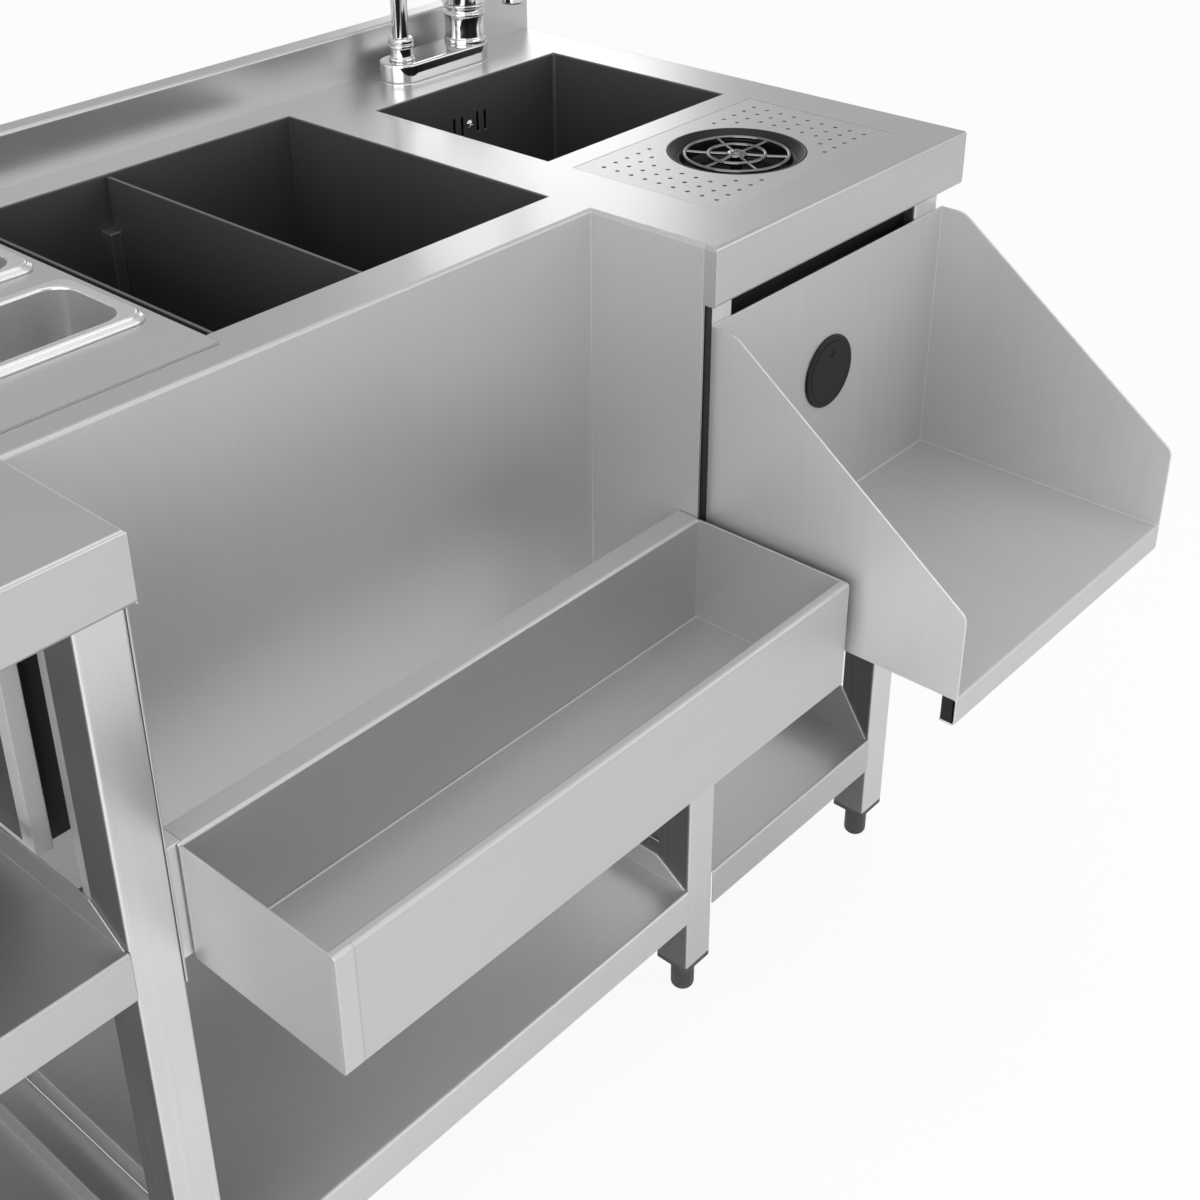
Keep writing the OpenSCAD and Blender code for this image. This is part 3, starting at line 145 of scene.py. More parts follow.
class Bench:
    """Node tree under construction: every node of a material or of the world comes from put()."""

    def __init__(self, tree: bpy.types.NodeTree) -> None:
        """Empties the tree and keeps it."""
        self.tree = tree
        tree.nodes.clear()

    def put(
        self, kind: str, settings: dict[str, Any] | None = None, inputs: dict[Any, Any] | None = None
    ) -> Any:
        """Adds a node.

        Args:
            kind: type name of the node.
            settings: attributes set first; "stops" gives a ramp's (position, grey) pairs.
            inputs: numbers, colours, wires or sockets by input name or index.

        Returns:
            The new node.
        """
        node = self.tree.nodes.new(kind)
        for key, value in (settings or {}).items():
            if key == "stops":
                ramp = node.color_ramp.elements
                while len(ramp) < len(value):
                    ramp.new(0.5)
                for element, (position, grey) in zip(ramp, value):
                    element.position = position
                    element.color = (grey, grey, grey, 1.0)
            else:
                setattr(node, key, value)
        for key, value in (inputs or {}).items():
            if isinstance(value, Wire):
                self.tree.links.new(value.socket, node.inputs[key])
            elif isinstance(value, bpy.types.NodeSocket):
                self.tree.links.new(value, node.inputs[key])
            else:
                node.inputs[key].default_value = value
        return node

    def math(self, operation: str, *values: Any) -> Wire:
        """Math node on numbers or wires."""
        node = self.put("ShaderNodeMath", {"operation": operation}, dict(enumerate(values)))
        return Wire(self, node.outputs[0])

    def vector(self, operation: str, inputs: dict[Any, Any]) -> bpy.types.NodeSocket:
        """Vector Math node on vectors; returns its vector output."""
        return self.put("ShaderNodeVectorMath", {"operation": operation}, inputs).outputs["Vector"]

    def place(self) -> bpy.types.NodeSocket:
        """Object coordinates, which are the part's own metres."""
        return self.put("ShaderNodeTexCoord").outputs["Object"]

    def axes(self) -> tuple[Wire, Wire, Wire]:
        """The three object coordinates as values."""
        node = self.put("ShaderNodeSeparateXYZ", None, {0: self.place()})
        return tuple(Wire(self, node.outputs[i]) for i in range(3))

    def noise(
        self, stretch: Sequence[float], detail: float = 2.0, rough: float = 0.5, shift: float = 0.0
    ) -> Wire:
        """Noise on stretched object coordinates.

        Args:
            stretch: cycles per metre along each axis.
            detail: octaves.
            rough: weight of the finer octaves.
            shift: moves the pattern, so that two layers differ.

        Returns:
            The noise value, about 0 to 1.
        """
        scaled = self.vector("MULTIPLY", {0: self.place(), 1: tuple(stretch)})
        moved = self.vector("ADD", {0: scaled, 1: (shift, shift * 1.7, shift * 0.6)})
        inputs = {"Vector": moved, "Scale": 1.0, "Detail": detail, "Roughness": rough}
        node = self.put("ShaderNodeTexNoise", None, inputs)
        return Wire(self, node.outputs[0])

    def lanes(self, grain: Grain) -> tuple[Wire, Wire]:
        """Coordinates along and across the brushing, whichever way a face looks.

        Faces square to x are laid out on y and z, lying faces on x and y, and all others on x and z, so the
        brushing never runs into a face. Upright brushing swaps the two.

        Args:
            grain: way of the brushing.

        Returns:
            The coordinate along the lanes and the one across them, in metres.
        """
        x, y, z = self.axes()
        facing = self.put("ShaderNodeSeparateXYZ", None, {0: self.put("ShaderNodeTexCoord").outputs["Normal"]})
        sideways = self.math("GREATER_THAN", abs(Wire(self, facing.outputs[0])), SQUARE_ON)
        lying = self.math("GREATER_THAN", abs(Wire(self, facing.outputs[2])), SQUARE_ON)
        level = x + (y - x) * sideways
        upright = z + (y - z) * lying
        return (level, upright) if grain is Grain.LEVEL else (upright, level)

    def brushed(
        self, lanes: tuple[Wire, Wire], along: float, across: float, detail: float, shift: float
    ) -> Wire:
        """Noise drawn out along the lanes.

        Args:
            lanes: coordinates from lanes().
            along: cycles per metre along the brushing.
            across: cycles per metre across it.
            detail: octaves.
            shift: picks another pattern.

        Returns:
            The noise value, about 0 to 1.
        """
        at = self.put("ShaderNodeCombineXYZ", None, {0: lanes[0] * along, 1: lanes[1] * across, 2: shift})
        inputs = {"Vector": at.outputs[0], "Scale": 1.0, "Detail": detail, "Roughness": LINE_ROUGHNESS}
        node = self.put("ShaderNodeTexNoise", None, inputs)
        return Wire(self, node.outputs[0])

    def tinted(self, tint: Sequence[float], level: Wire) -> bpy.types.NodeSocket:
        """Colour scaled by a value."""
        return self.vector("SCALE", {0: tuple(tint[:3]), "Scale": level})

    def bump(
        self, height: Wire, distance: float, normal: bpy.types.NodeSocket | None = None
    ) -> bpy.types.NodeSocket:
        """Bump node with full strength; distance is the height of a step of one, in metres."""
        inputs: dict[Any, Any] = {"Strength": 1.0, "Distance": distance, "Height": height}
        if normal is not None:
            inputs["Normal"] = normal
        return self.put("ShaderNodeBump", None, inputs).outputs[0]

    def surface(self, fixed: dict[str, Any], varied: dict[str, Any]) -> None:
        """Principled surface and the output; fixed values sit on the shader's own sockets."""
        shader = self.put("ShaderNodeBsdfPrincipled", None, {**fixed, **varied})
        self.put("ShaderNodeOutputMaterial", None, {"Surface": shader.outputs[0]})


def new_material(name: str) -> tuple[bpy.types.Material, Bench]:
    """Makes an empty node material and the bench for it."""
    material = bpy.data.materials.new(name)
    material.use_nodes = True
    return material, Bench(material.node_tree)


@dataclass(frozen=True)
class Seam:
    """Dressed weld across a sheet: a plane x = at, seen where y is below front."""

    at: float
    front: float


@dataclass(frozen=True)
class BrushedSheet:
    """Brushed stainless sheet: streaks along the grain, soft clouds, faint waves and a painted highlight on the edges.

    edge paints a highlight on the edges and folds, or a painted shadow line below 0; side paints shade on the faces
    that look along x.
    """

    name: str
    tone: float = 0.56
    rough: float = 0.36
    metal: float = 0.85
    grain: Grain = Grain.LEVEL
    streak: float = 0.05
    cloud: float = 0.10
    wave: float = 0.0010
    edge: float = 0.30
    edge_radius: float = 0.0012
    side: float = 0.0
    seam: Seam | None = None

    def material(self) -> bpy.types.Material:
        """Builds the node material."""
        material, bench = new_material(self.name)
        lanes = bench.lanes(self.grain)
        fine = bench.brushed(lanes, *FINE_LINES)
        hair = bench.brushed(lanes, *HAIR_LINES)
        band = bench.brushed(lanes, *BROAD_BANDS)
        scratch = bench.brushed(lanes, *SCRATCHES).between(0.80, 0.86)
        cloud = bench.noise((3.1, 3.1, 3.1), 3.0, 0.55, 2.0)
        swell = bench.noise((2.2, 2.2, 2.2), 1.0, 0.4, 7.0)
        # Edge mask from the bevel: edge paints a highlight along edges and folds, or a painted shadow line when it is
        # below 0.
        rounded = bench.put("ShaderNodeBevel", {"samples": 4}, {"Radius": self.edge_radius}).outputs[0]
        flat = bench.put("ShaderNodeNewGeometry").outputs["Normal"]
        turn = bench.put("ShaderNodeVectorMath", {"operation": "DOT_PRODUCT"}, {0: rounded, 1: flat})
        painted_edge_light = (1.0 - Wire(bench, turn.outputs["Value"])).between(0.01, 0.16)
        level = 1.0 + (fine - 0.5) * (self.streak * 1.2) + (hair - 0.5) * self.streak
        level = level + (band - 0.5) * (self.streak * 0.9)
        level = level + (cloud - 0.5) * self.cloud + painted_edge_light * self.edge + scratch * 0.025
        # Painted shade: side darkens the faces that look along x.
        if self.side > 0.0:
            across = Wire(bench, bench.put("ShaderNodeSeparateXYZ", None, {0: flat}).outputs[0])
            level = level - abs(across).between(0.6, 0.9) * self.side
        dull = (hair - 0.5) * 0.015 + (cloud - 0.5) * 0.12 - painted_edge_light * 0.08 + self.rough
        height = hair * 0.6
        if self.seam is not None:
            x, y, _ = bench.axes()
            near = 1.0 - abs(x - self.seam.at).between(0.0003, 0.0013)
            front = 1.0 - y.between(self.seam.front, self.seam.front + 0.004)
            left = 1.0 - x.between(self.seam.at - 0.0006, self.seam.at + 0.0006)
            level = level - near * front * 0.16 + left * front * 0.05
            height = height - near * front * 8.0
        normal = bench.bump(swell, self.wave, rounded)
        normal = bench.bump(height, LINE_HEIGHT, normal)
        tint = (self.tone, self.tone * 0.998, self.tone * 0.992)
        bench.surface(
            {"Metallic": self.metal, "Specular IOR Level": 0.5},
            {"Base Color": bench.tinted(tint, level), "Roughness": dull, "Normal": normal},
        )
        return material


@dataclass(frozen=True)
class PolishedMetal:
    """Plated or polished metal with a faint haze and finger marks."""

    name: str
    tint: tuple[float, float, float] = (0.72, 0.72, 0.725)
    rough: float = 0.045
    haze: float = 0.05

    def material(self) -> bpy.types.Material:
        """Builds the node material."""
        material, bench = new_material(self.name)
        smear = bench.noise((38.0, 38.0, 38.0), 3.0, 0.6)
        speck = bench.noise((420.0, 420.0, 420.0), 1.0, 0.5, 3.0)
        level = 1.0 + (smear - 0.5) * 0.08
        dull = self.rough + smear.between(0.48, 0.75) * self.haze + (speck - 0.5) * 0.02
        normal = bench.bump(smear, 0.00004)
        bench.surface(
            {"Metallic": 1.0},
            {"Base Color": bench.tinted(self.tint, level), "Roughness": dull, "Normal": normal},
        )
        return material


@dataclass(frozen=True)
class MouldedPlastic:
    """Moulded plastic with a fine spark-eroded texture and slightly uneven gloss."""

    name: str
    tint: tuple[float, float, float] = (0.018, 0.018, 0.019)
    rough: float = 0.42
    texture: float = 0.00003
    gloss: float = 0.5

    def material(self) -> bpy.types.Material:
        """Builds the node material."""
        material, bench = new_material(self.name)
        pebble = bench.noise((900.0, 900.0, 900.0), 2.0, 0.6)
        patch = bench.noise((22.0, 22.0, 22.0), 3.0, 0.6, 5.0)
        level = 1.0 + (patch - 0.5) * 0.35 + (pebble - 0.5) * 0.2
        dull = self.rough + (patch - 0.5) * 0.16
        bench.surface(
            {"Metallic": 0.0, "Specular IOR Level": self.gloss},
            {"Base Color": bench.tinted(self.tint, level), "Roughness": dull,
             "Normal": bench.bump(pebble, self.texture)},
        )
        return material


@dataclass(frozen=True)
class CellFoam:
    """Rigid insulating foam: pale, matt and finely celled."""

    name: str
    tint: tuple[float, float, float] = (0.62, 0.53, 0.33)

    def material(self) -> bpy.types.Material:
        """Builds the node material."""
        material, bench = new_material(self.name)
        cells = bench.put("ShaderNodeTexVoronoi", None, {"Vector": bench.place(), "Scale": 700.0}).outputs[0]
        patch = bench.noise((30.0, 30.0, 30.0), 3.0, 0.6)
        depth = Wire(bench, cells)
        level = 0.85 + (patch - 0.5) * 0.3 + depth * 0.2
        bench.surface(
            {"Metallic": 0.0, "Specular IOR Level": 0.2},
            {"Base Color": bench.tinted(self.tint, level), "Roughness": 0.85 + (patch - 0.5) * 0.1,
             "Normal": bench.bump(depth, 0.0004)},
        )
        return material


def rounded_loop(half_x: Array, half_y: Array, radius: Array, steps: int) -> tuple[Array, Array]:
    """Rounded rectangles, one a row.

    Each corner is a quarter circle: corner centre plus radius times (cos, sin) of the angle, for the four
    corners in turn. The straight sides are the steps between one corner's end and the next one's start.

    Args:
        half_x: half lengths of the rectangles.
        half_y: half widths.
        radius: corner radii.
        steps: steps in each corner.

    Returns:
        x and y of the points, rows by 4 * (steps + 1).
    """
    quarter = np.linspace(0.0, math.pi / 2, steps + 1)
    angle = np.concatenate([quarter + i * math.pi / 2 for i in range(4)])
    sign_x = np.repeat([1.0, -1.0, -1.0, 1.0], steps + 1)
    sign_y = np.repeat([1.0, 1.0, -1.0, -1.0], steps + 1)
    x = sign_x[None, :] * (half_x - radius)[:, None] + radius[:, None] * np.cos(angle)[None, :]
    y = sign_y[None, :] * (half_y - radius)[:, None] + radius[:, None] * np.sin(angle)[None, :]
    return x, y


def fillet(path: Sequence[Sequence[float]], radii: Sequence[float], steps: int = 5) -> Array:
    """Rounds the corners of a profile.

    At each inner point the corner is cut back by its radius (in the sense of the distance along each side)
    and joined by the curve (1-t)^2 a + 2t(1-t) p + t^2 b.

    Args:
        path: points of the profile.
        radii: cut-back at each point; 0 keeps it sharp.
        steps: steps of each rounding.

    Returns:
        The new points as an array.
    """
    points = np.asarray(path, float)
    out = [points[:1]]
    t = np.linspace(0.0, 1.0, steps + 1)[:, None]
    for i in range(1, len(points) - 1):
        before, here, after = points[i - 1], points[i], points[i + 1]
        if radii[i] <= 0:
            out.append(here[None, :])
            continue
        lead, trail = before - here, after - here
        a = here + lead * min(0.5, radii[i] / np.linalg.norm(lead))
        b = here + trail * min(0.5, radii[i] / np.linalg.norm(trail))
        out.append((1 - t) ** 2 * a + 2 * t * (1 - t) * here + t**2 * b)
    out.append(points[-1:])
    return np.concatenate(out)


def mesh_object(
    name: str, grids: Iterable[tuple[Array, bool, bool]], smooth_angle: float = 40.0
) -> bpy.types.Object:
    """Makes one object of point grids.

    Each grid's quads join point (i, j) to (i+1, j), (i+1, j+1) and (i, j+1). Doubles are merged, so that rows
    which shrink to a point become poles, and the normals are recalculated on the merged shells.

    Args:
        name: name of the piece.
        grids: (points rows x columns x 3, rows closed, columns closed) of each shell.
        smooth_angle: edges sharper than this many degrees stay sharp.

    Returns:
        The new object, at the origin.
    """
    all_points, all_faces, start = [], [], 0
    for points, wrap_rows, wrap_cols in grids:
        rows, cols = points.shape[:2]
        i = np.arange(rows if wrap_rows else rows - 1)
        j = np.arange(cols if wrap_cols else cols - 1)
        ii, jj = np.meshgrid(i, j, indexing="ij")
        ni, nj = (ii + 1) % rows, (jj + 1) % cols
        quads = np.stack([ii * cols + jj, ni * cols + jj, ni * cols + nj, ii * cols + nj], axis=-1)
        all_points.append(points.reshape(-1, 3))
        all_faces.append(quads.reshape(-1, 4) + start)
        start += rows * cols
    mesh = bpy.data.meshes.new(name)
    mesh.from_pydata(np.concatenate(all_points).tolist(), [], np.concatenate(all_faces).tolist())
    shell = bmesh.new()
    shell.from_mesh(mesh)
    bmesh.ops.remove_doubles(shell, verts=shell.verts, dist=1e-6)
    bmesh.ops.dissolve_degenerate(shell, edges=shell.edges, dist=1e-7)
    bmesh.ops.recalc_face_normals(shell, faces=shell.faces)
    for face in shell.faces:
        face.smooth = True
    limit = math.radians(smooth_angle)
    for edge in shell.edges:
        edge.smooth = not (len(edge.link_faces) == 2 and edge.calc_face_angle(0.0) > limit)
    shell.to_mesh(mesh)
    shell.free()
    piece = bpy.data.objects.new(name, mesh)
    bpy.context.scene.collection.objects.link(piece)
    return piece


def turned(profile: Array, centre: Sequence[float], segments: int = 96) -> Array:
    """Surface turned about a vertical axis: (cx + r cos a, cy + r sin a, cz + z) for each profile point."""
    angle = np.linspace(0.0, 2 * math.pi, segments, endpoint=False)
    r, z = profile[:, 0][:, None], profile[:, 1][:, None]
    flat = np.ones_like(angle)[None, :]
    grid = np.stack([r * np.cos(angle)[None, :], r * np.sin(angle)[None, :], z * flat], axis=-1)
    return grid + np.asarray(centre, float)


def tube(path: Array, radius: float, segments: int) -> Array:
    """Round tube along a path, closed by a shrunken ring at each end.

    Each ring is centre + radius * (n cos a + b sin a), where n and b are made square to the path's tangent
    by carrying the first normal along and removing its part along each new tangent.

    Args:
        path: points of the centre line.
        radius: radius of the tube.
        segments: points round each ring.

    Returns:
        Grid of points.
    """
    points = np.asarray(path, float)
    size = np.full(len(points), float(radius))
    tangent = np.gradient(points, axis=0)
    tangent /= np.linalg.norm(tangent, axis=1)[:, None]
    seed = np.array([1.0, 0.0, 0.0]) if abs(tangent[0, 0]) < 0.9 else np.array([0.0, 1.0, 0.0])
    normals = np.empty_like(points)
    for i, along in enumerate(tangent):
        seed = seed - along * float(seed @ along)
        seed = seed / np.linalg.norm(seed)
        normals[i] = seed
    sides = np.cross(tangent, normals)
    points = np.concatenate([points[:1], points, points[-1:]])
    size = np.concatenate([[0.0], size, [0.0]])
    normals = np.concatenate([normals[:1], normals, normals[-1:]])
    sides = np.concatenate([sides[:1], sides, sides[-1:]])
    angle = np.linspace(0.0, 2 * math.pi, segments, endpoint=False)
    ring = normals[:, None, :] * np.cos(angle)[None, :, None] + sides[:, None, :] * np.sin(angle)[None, :, None]
    return points[:, None, :] + size[:, None, None] * ring


def middle(node: str) -> tuple[Vector, Vector, Vector]:
    """Lowest corner, highest corner and centre of a CAD node."""
    low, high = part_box(node)
    return low, high, (low + high) / 2


def stand_in(piece: bpy.types.Object, node: str, material: bpy.types.Material) -> bpy.types.Object:
    """Makes a piece stand for a CAD node.

    Args:
        piece: the new object.
        node: the CAD node that it replaces; it rides on the same body.
        material: its finish.

    Returns:
        The piece.
    """
    body = frame["nodes"][node]["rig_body"]
    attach(piece, body)
    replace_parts(piece, node)
    piece.data.materials.clear()
    piece.data.materials.append(material)
    log.info("%s stands for %s on %s, %d faces", piece.name, node, body, len(piece.data.polygons))
    return piece


@dataclass
class Pans:
    """The two pressed pans: stepped rim, rolled inner edge, leaning walls and a rounded floor.

    flat is the inset at which the profile ends, in the flat middle of the floor.
    """

    nodes: tuple[str, ...] = ("pan_front", "pan_back")
    rim: float = 12.5 * MM
    rim_height: float = 7.0 * MM
    gauge: float = 0.8 * MM
    lean: float = 6.0 * MM
    flat: float = 58.0 * MM
    corner_steps: int = 24

    def profile(self, depth: float) -> tuple[Array, Array]:
        """Profile from the middle of the floor, up the inside, over the rim and back below.

        Args:
            depth: depth of the pan below its rim.

        Returns:
            Points (inset from the outline, height over the rim's underside) and the corner radius at each.
        """
        g, rim, top = self.gauge, self.rim, self.rim_height
        inner = fillet(
            [
                (self.flat, -depth + g), (rim + g + self.lean, -depth + g), (rim + g, -1.5 * MM),
                (rim + g, top - 0.8 * MM), (rim - 2.6 * MM, top), (4.4 * MM, top), (3.2 * MM, 4.2 * MM),
                (1.0 * MM, 3.6 * MM), (0.0, 1.8 * MM), (0.0, 0.15 * MM),
            ],
            [0, 11 * MM, 0, 2.6 * MM, 1.4 * MM, 1.2 * MM, 1.0 * MM, 1.0 * MM, 0.8 * MM, 0],
            7,
        )
        outer = fillet(
            [(0.0, 0.15 * MM), (rim, 0.15 * MM), (rim, -2 * MM), (rim + self.lean, -depth), (self.flat, -depth)],
            [0, 0.3 * MM, 0, 11 * MM, 0],
            7,
        )
        path = np.concatenate([inner, outer[1:]])
        insets = [0.0, 3 * MM, rim, rim + self.lean + 2 * MM, self.flat]
        radius = np.interp(path[:, 0], insets, np.array([16.0, 14.0, 24.0, 19.0, 1.5]) * MM)
        return path, radius

    def build(self, material: bpy.types.Material) -> None:
        """Builds both pans in their nodes' places."""
        for node in self.nodes:
            low, high, mid = middle(node)
            half_x, half_y = (high.x - low.x) / 2, (high.y - low.y) / 2
            rim_z = high.z - self.rim_height
            path, radius = self.profile(rim_z - low.z)
            wide = np.maximum(half_x - path[:, 0], 2 * MM)
            deep = np.maximum(half_y - path[:, 0], 2 * MM)
            x, y = rounded_loop(wide, deep, np.minimum(radius, deep * 0.98), self.corner_steps)
            z = np.repeat((path[:, 1] + rim_z)[:, None], x.shape[1], axis=1)
            grid = np.stack([x + mid.x, y + mid.y, z], axis=-1)
            first = np.broadcast_to(np.array([mid.x, mid.y, z[0, 0]]), grid[:1].shape)
            last = np.broadcast_to(np.array([mid.x, mid.y, z[-1, 0]]), grid[:1].shape)
            piece = mesh_object(f"pressed_{node}", [(np.concatenate([first, grid, last]), False, True)], 75.0)
            stand_in(piece, node, material)


@dataclass
class Rinser:
    """Glass rinser: a moulded bowl with a sloping collar, and the wire star with its nozzle.

    bore is the radius of the hole for the water inlet; wire and ring_in are the star's wire and small ring.
    """

    bore: float = 6.06 * MM
    wire: float = 2.0 * MM
    ring_in: float = 28.0 * MM
    spokes: int = 6

    def build_body(self, material: bpy.types.Material) -> None:
        """Bowl: one closed profile turned about the rinser's axis, with a lip, a groove and a raised boss."""
        low, high, mid = middle("rinser_body")
        big = (high.x - low.x) / 2
        height = high.z - low.z
        bowl = big - 13.5 * MM
        profile = fillet(
            [
                (self.bore, 0.0), (self.bore, 12 * MM), (12.8 * MM, 12 * MM), (13 * MM, 8.2 * MM),
                (18 * MM, 8.0 * MM), (19 * MM, 9.2 * MM), (22 * MM, 9.2 * MM), (23 * MM, 8.0 * MM),
                (bowl - 6 * MM, 8 * MM), (bowl, 14 * MM), (bowl, height - 8.2 * MM),
                (bowl + 3 * MM, height - 6.2 * MM), (bowl + 3.7 * MM, height - 6.7 * MM),
                (bowl + 4.6 * MM, height - 5.3 * MM), (big - 1.6 * MM, height - 0.05 * MM),
                (big, height - 0.05 * MM), (big, 0.0), (self.bore, 0.0),
            ],
            [0, 0.4 * MM, 1.2 * MM, 0.8 * MM, 0.6 * MM, 0.6 * MM, 0.6 * MM, 0.6 * MM, 3 * MM, 3 * MM, 1.2 * MM,
             0.4 * MM, 0.4 * MM, 0.4 * MM, 0.8 * MM, 0.6 * MM, 0.3 * MM, 0],
            4,
        )
        grid = turned(profile[:-1], (mid.x, mid.y, low.z), 128)
        piece = mesh_object("moulded_rinser_bowl", [(grid, True, True)], 35.0)
        stand_in(piece, "rinser_body", material)

    def build_star(self, material: bpy.types.Material) -> None:
        """Star: two rings and six spokes of round wire, a stem and a domed nozzle with a stepped crown."""
        low, high, mid = middle("rinser_star")
        z = high.z - 4.0 * MM
        reach = (high.x - low.x) / 2 - self.wire
        turn = np.linspace(0.0, 2 * math.pi, 121)[:-1]
        grids = []
        for radius in (reach, self.ring_in):
            ring_x, ring_y = mid.x + radius * np.cos(turn), mid.y + radius * np.sin(turn)
            ring = np.stack([ring_x, ring_y, np.full_like(turn, z)], axis=-1)
            angle = np.linspace(0.0, 2 * math.pi, 14, endpoint=False)
            out = np.stack([np.cos(turn), np.sin(turn), np.zeros_like(turn)], axis=-1)
            up = np.array([0.0, 0.0, 1.0])
            level, rise = np.cos(angle)[None, :, None], np.sin(angle)[None, :, None]
            offset = out[:, None, :] * level + up[None, None, :] * rise
            grids.append((ring[:, None, :] + self.wire * offset, True, True))
        for i in range(self.spokes):
            a = i * 2 * math.pi / self.spokes
            along = np.linspace(7 * MM, reach, 14)
            dip = -0.6 * MM * np.sin(np.pi * (along - 7 * MM) / (reach - 7 * MM))
            path = np.stack([mid.x + along * math.cos(a), mid.y + along * math.sin(a), z + dip], axis=-1)
            grids.append((tube(path, self.wire * 0.86, 14), False, True))
        floor = low.z - z
        nozzle = fillet(
            [
                (0, 2.6 * MM), (2.2 * MM, 2.6 * MM), (2.6 * MM, 3.6 * MM), (5.2 * MM, 3.4 * MM),
                (6.2 * MM, 2.2 * MM), (8.6 * MM, 2.0 * MM), (10.2 * MM, 0.8 * MM), (10.6 * MM, -2.8 * MM),
                (6.0 * MM, -4.0 * MM), (6.0 * MM, floor + 0.6 * MM), (5.4 * MM, floor), (0, floor),
            ],
            [0, 0.3 * MM, 0.3 * MM, 0.6 * MM, 0.5 * MM, 0.5 * MM, 0.8 * MM, 0.8 * MM, 0.5 * MM, 0.3 * MM,
             0.3 * MM, 0],
            4,
        )
        grids.append((turned(nozzle, (mid.x, mid.y, z), 64), False, True))
        piece = mesh_object("wire_star", grids, 35.0)
        stand_in(piece, "rinser_star", material)


@dataclass
class Tap:
    """Mixer tap: cast base, ringed collar, bent spout with its aerator, and the valve column.

    ease is how far the base's side rounds in below its top; bore is the collar's inner radius; stem is the
    height of the valve's stem over its body; drop is the spout's straight end.
    """

    ease: float = 2.6 * MM
    bore: float = 9.06 * MM
    stem: float = 14.8 * MM
    drop: float = 46.0 * MM

    def turned_piece(self, node: str, profile: Sequence[Sequence[float]], radii: Sequence[float], closed: bool,
                     material: bpy.types.Material, centre: Vector) -> None:
        """Turns a rounded profile about an axis and stands it in for a node."""
        path = fillet(profile, radii, 5)
        grids = [(turned(path[:-1] if closed else path, centre, 80), closed, True)]
        stand_in(mesh_object(f"polished_{node}", grids, 35.0), node, material)

    def build_base(self, material: bpy.types.Material) -> None:
        """Base: stadium-shaped rings stacked from a small foot, up a bulging side and over a soft top edge."""
        low, high, mid = middle("tap_base")
        half = (high.y - low.y) / 2
        span = (high.x - low.x) / 2
        height = high.z - low.z
        path = fillet(
            [(half, 0.0), (0.0, 0.0), (0.0, 1.6 * MM), (0.9 * MM, 2.2 * MM), (0.2 * MM, 4.2 * MM),
             (0.0, height - self.ease), (0.4 * MM, height - 0.6 * MM), (3.0 * MM, height), (half, height)],
            [0, 0.2 * MM, 0.4 * MM, 0.3 * MM, 0.8 * MM, 1.6 * MM, 1.6 * MM, 1.4 * MM, 0],
            6,
        )
        inset = path[:, 0]
        wide = span - inset
        deep = np.maximum(half - inset, 0.02 * MM)
        x, y = rounded_loop(wide, deep, deep, 24)
        z = np.repeat((path[:, 1] + low.z)[:, None], x.shape[1], axis=1)
        grid = np.stack([x + mid.x, y + mid.y, z], axis=-1)
        stand_in(mesh_object("cast_tap_base", [(grid, False, True)], 35.0), "tap_base", material)

    def build(self, material: bpy.types.Material) -> None:
        """Builds every piece of the tap."""
        self.build_base(material)
        low, high, mid = middle("tap_collar")
        outer, inner, tall = (high.x - low.x) / 2, self.bore, high.z - low.z
        self.turned_piece(
            "tap_collar",
            [(inner, 0), (outer - 0.8 * MM, 0), (outer, 1.5 * MM), (outer - 0.6 * MM, 3.6 * MM),
             (outer - 2.2 * MM, 4.4 * MM), (outer - 2.2 * MM, tall - 11 * MM),
             (outer - 0.4 * MM, tall - 10.4 * MM), (outer - 0.4 * MM, tall - 7.4 * MM),
             (outer - 2.0 * MM, tall - 6.6 * MM), (outer - 0.4 * MM, tall - 5.4 * MM),
             (outer - 0.4 * MM, tall - 2.0 * MM), (outer - 2.4 * MM, tall - 0.3 * MM), (inner + 0.4 * MM, tall),
             (inner, tall - 0.6 * MM), (inner, 0)],
            [0, 0.6 * MM, 1 * MM, 0.8 * MM, 0.8 * MM, 0.8 * MM, 0.9 * MM, 0.9 * MM, 0.5 * MM, 0.9 * MM,
             0.9 * MM, 1 * MM, 0.3 * MM, 0.2 * MM, 0],
            True, material, Vector((mid.x, mid.y, low.z)),
        )
        self.build_spout(material)
        low, high, mid = middle("tap_aerator")
        big, tall = (high.x - low.x) / 2, high.z - low.z
        self.turned_piece(
            "tap_aerator",
            [(0, 5 * MM), (big - 3.2 * MM, 5 * MM), (big - 2.6 * MM, 0.4 * MM), (big - 0.6 * MM, 0),
             (big, 1.2 * MM), (big, tall - 3 * MM), (big - 1 * MM, tall), (0, tall)],
            [0, 0.8 * MM, 0.5 * MM, 0.4 * MM, 0.8 * MM, 1.2 * MM, 0.8 * MM, 0],
            False, material, Vector((mid.x, mid.y, low.z)),
        )
        low, high, mid = middle("tap_valve")
        big = (high.x - low.x) / 2
        body = high.z - low.z - self.stem
        self.turned_piece(
            "tap_valve",
            [(0, 0), (big - 0.2 * MM, 0), (big, 2.6 * MM), (big - 0.6 * MM, 5.2 * MM),
             (big - 1.6 * MM, 6.4 * MM), (big - 2.0 * MM, body * 0.5), (big - 1.2 * MM, body - 15 * MM),
             (big, body - 13 * MM), (big, body - 11 * MM), (big - 2.2 * MM, body - 9.2 * MM),
             (big - 2.2 * MM, body - 6.2 * MM), (big, body - 4.6 * MM), (big, body - 1.6 * MM),
             (big - 2 * MM, body - 0.2 * MM), (8 * MM, body), (8 * MM, high.z - low.z), (0, high.z - low.z)],
            [0, 0.3 * MM, 1.2 * MM, 1 * MM, 1 * MM, 5 * MM, 2 * MM, 1 * MM, 1 * MM, 0.8 * MM, 0.8 * MM, 1 * MM,
             1 * MM, 1 * MM, 0.3 * MM, 0.5 * MM, 0],
            False, material, Vector((mid.x, mid.y, low.z)),
        )

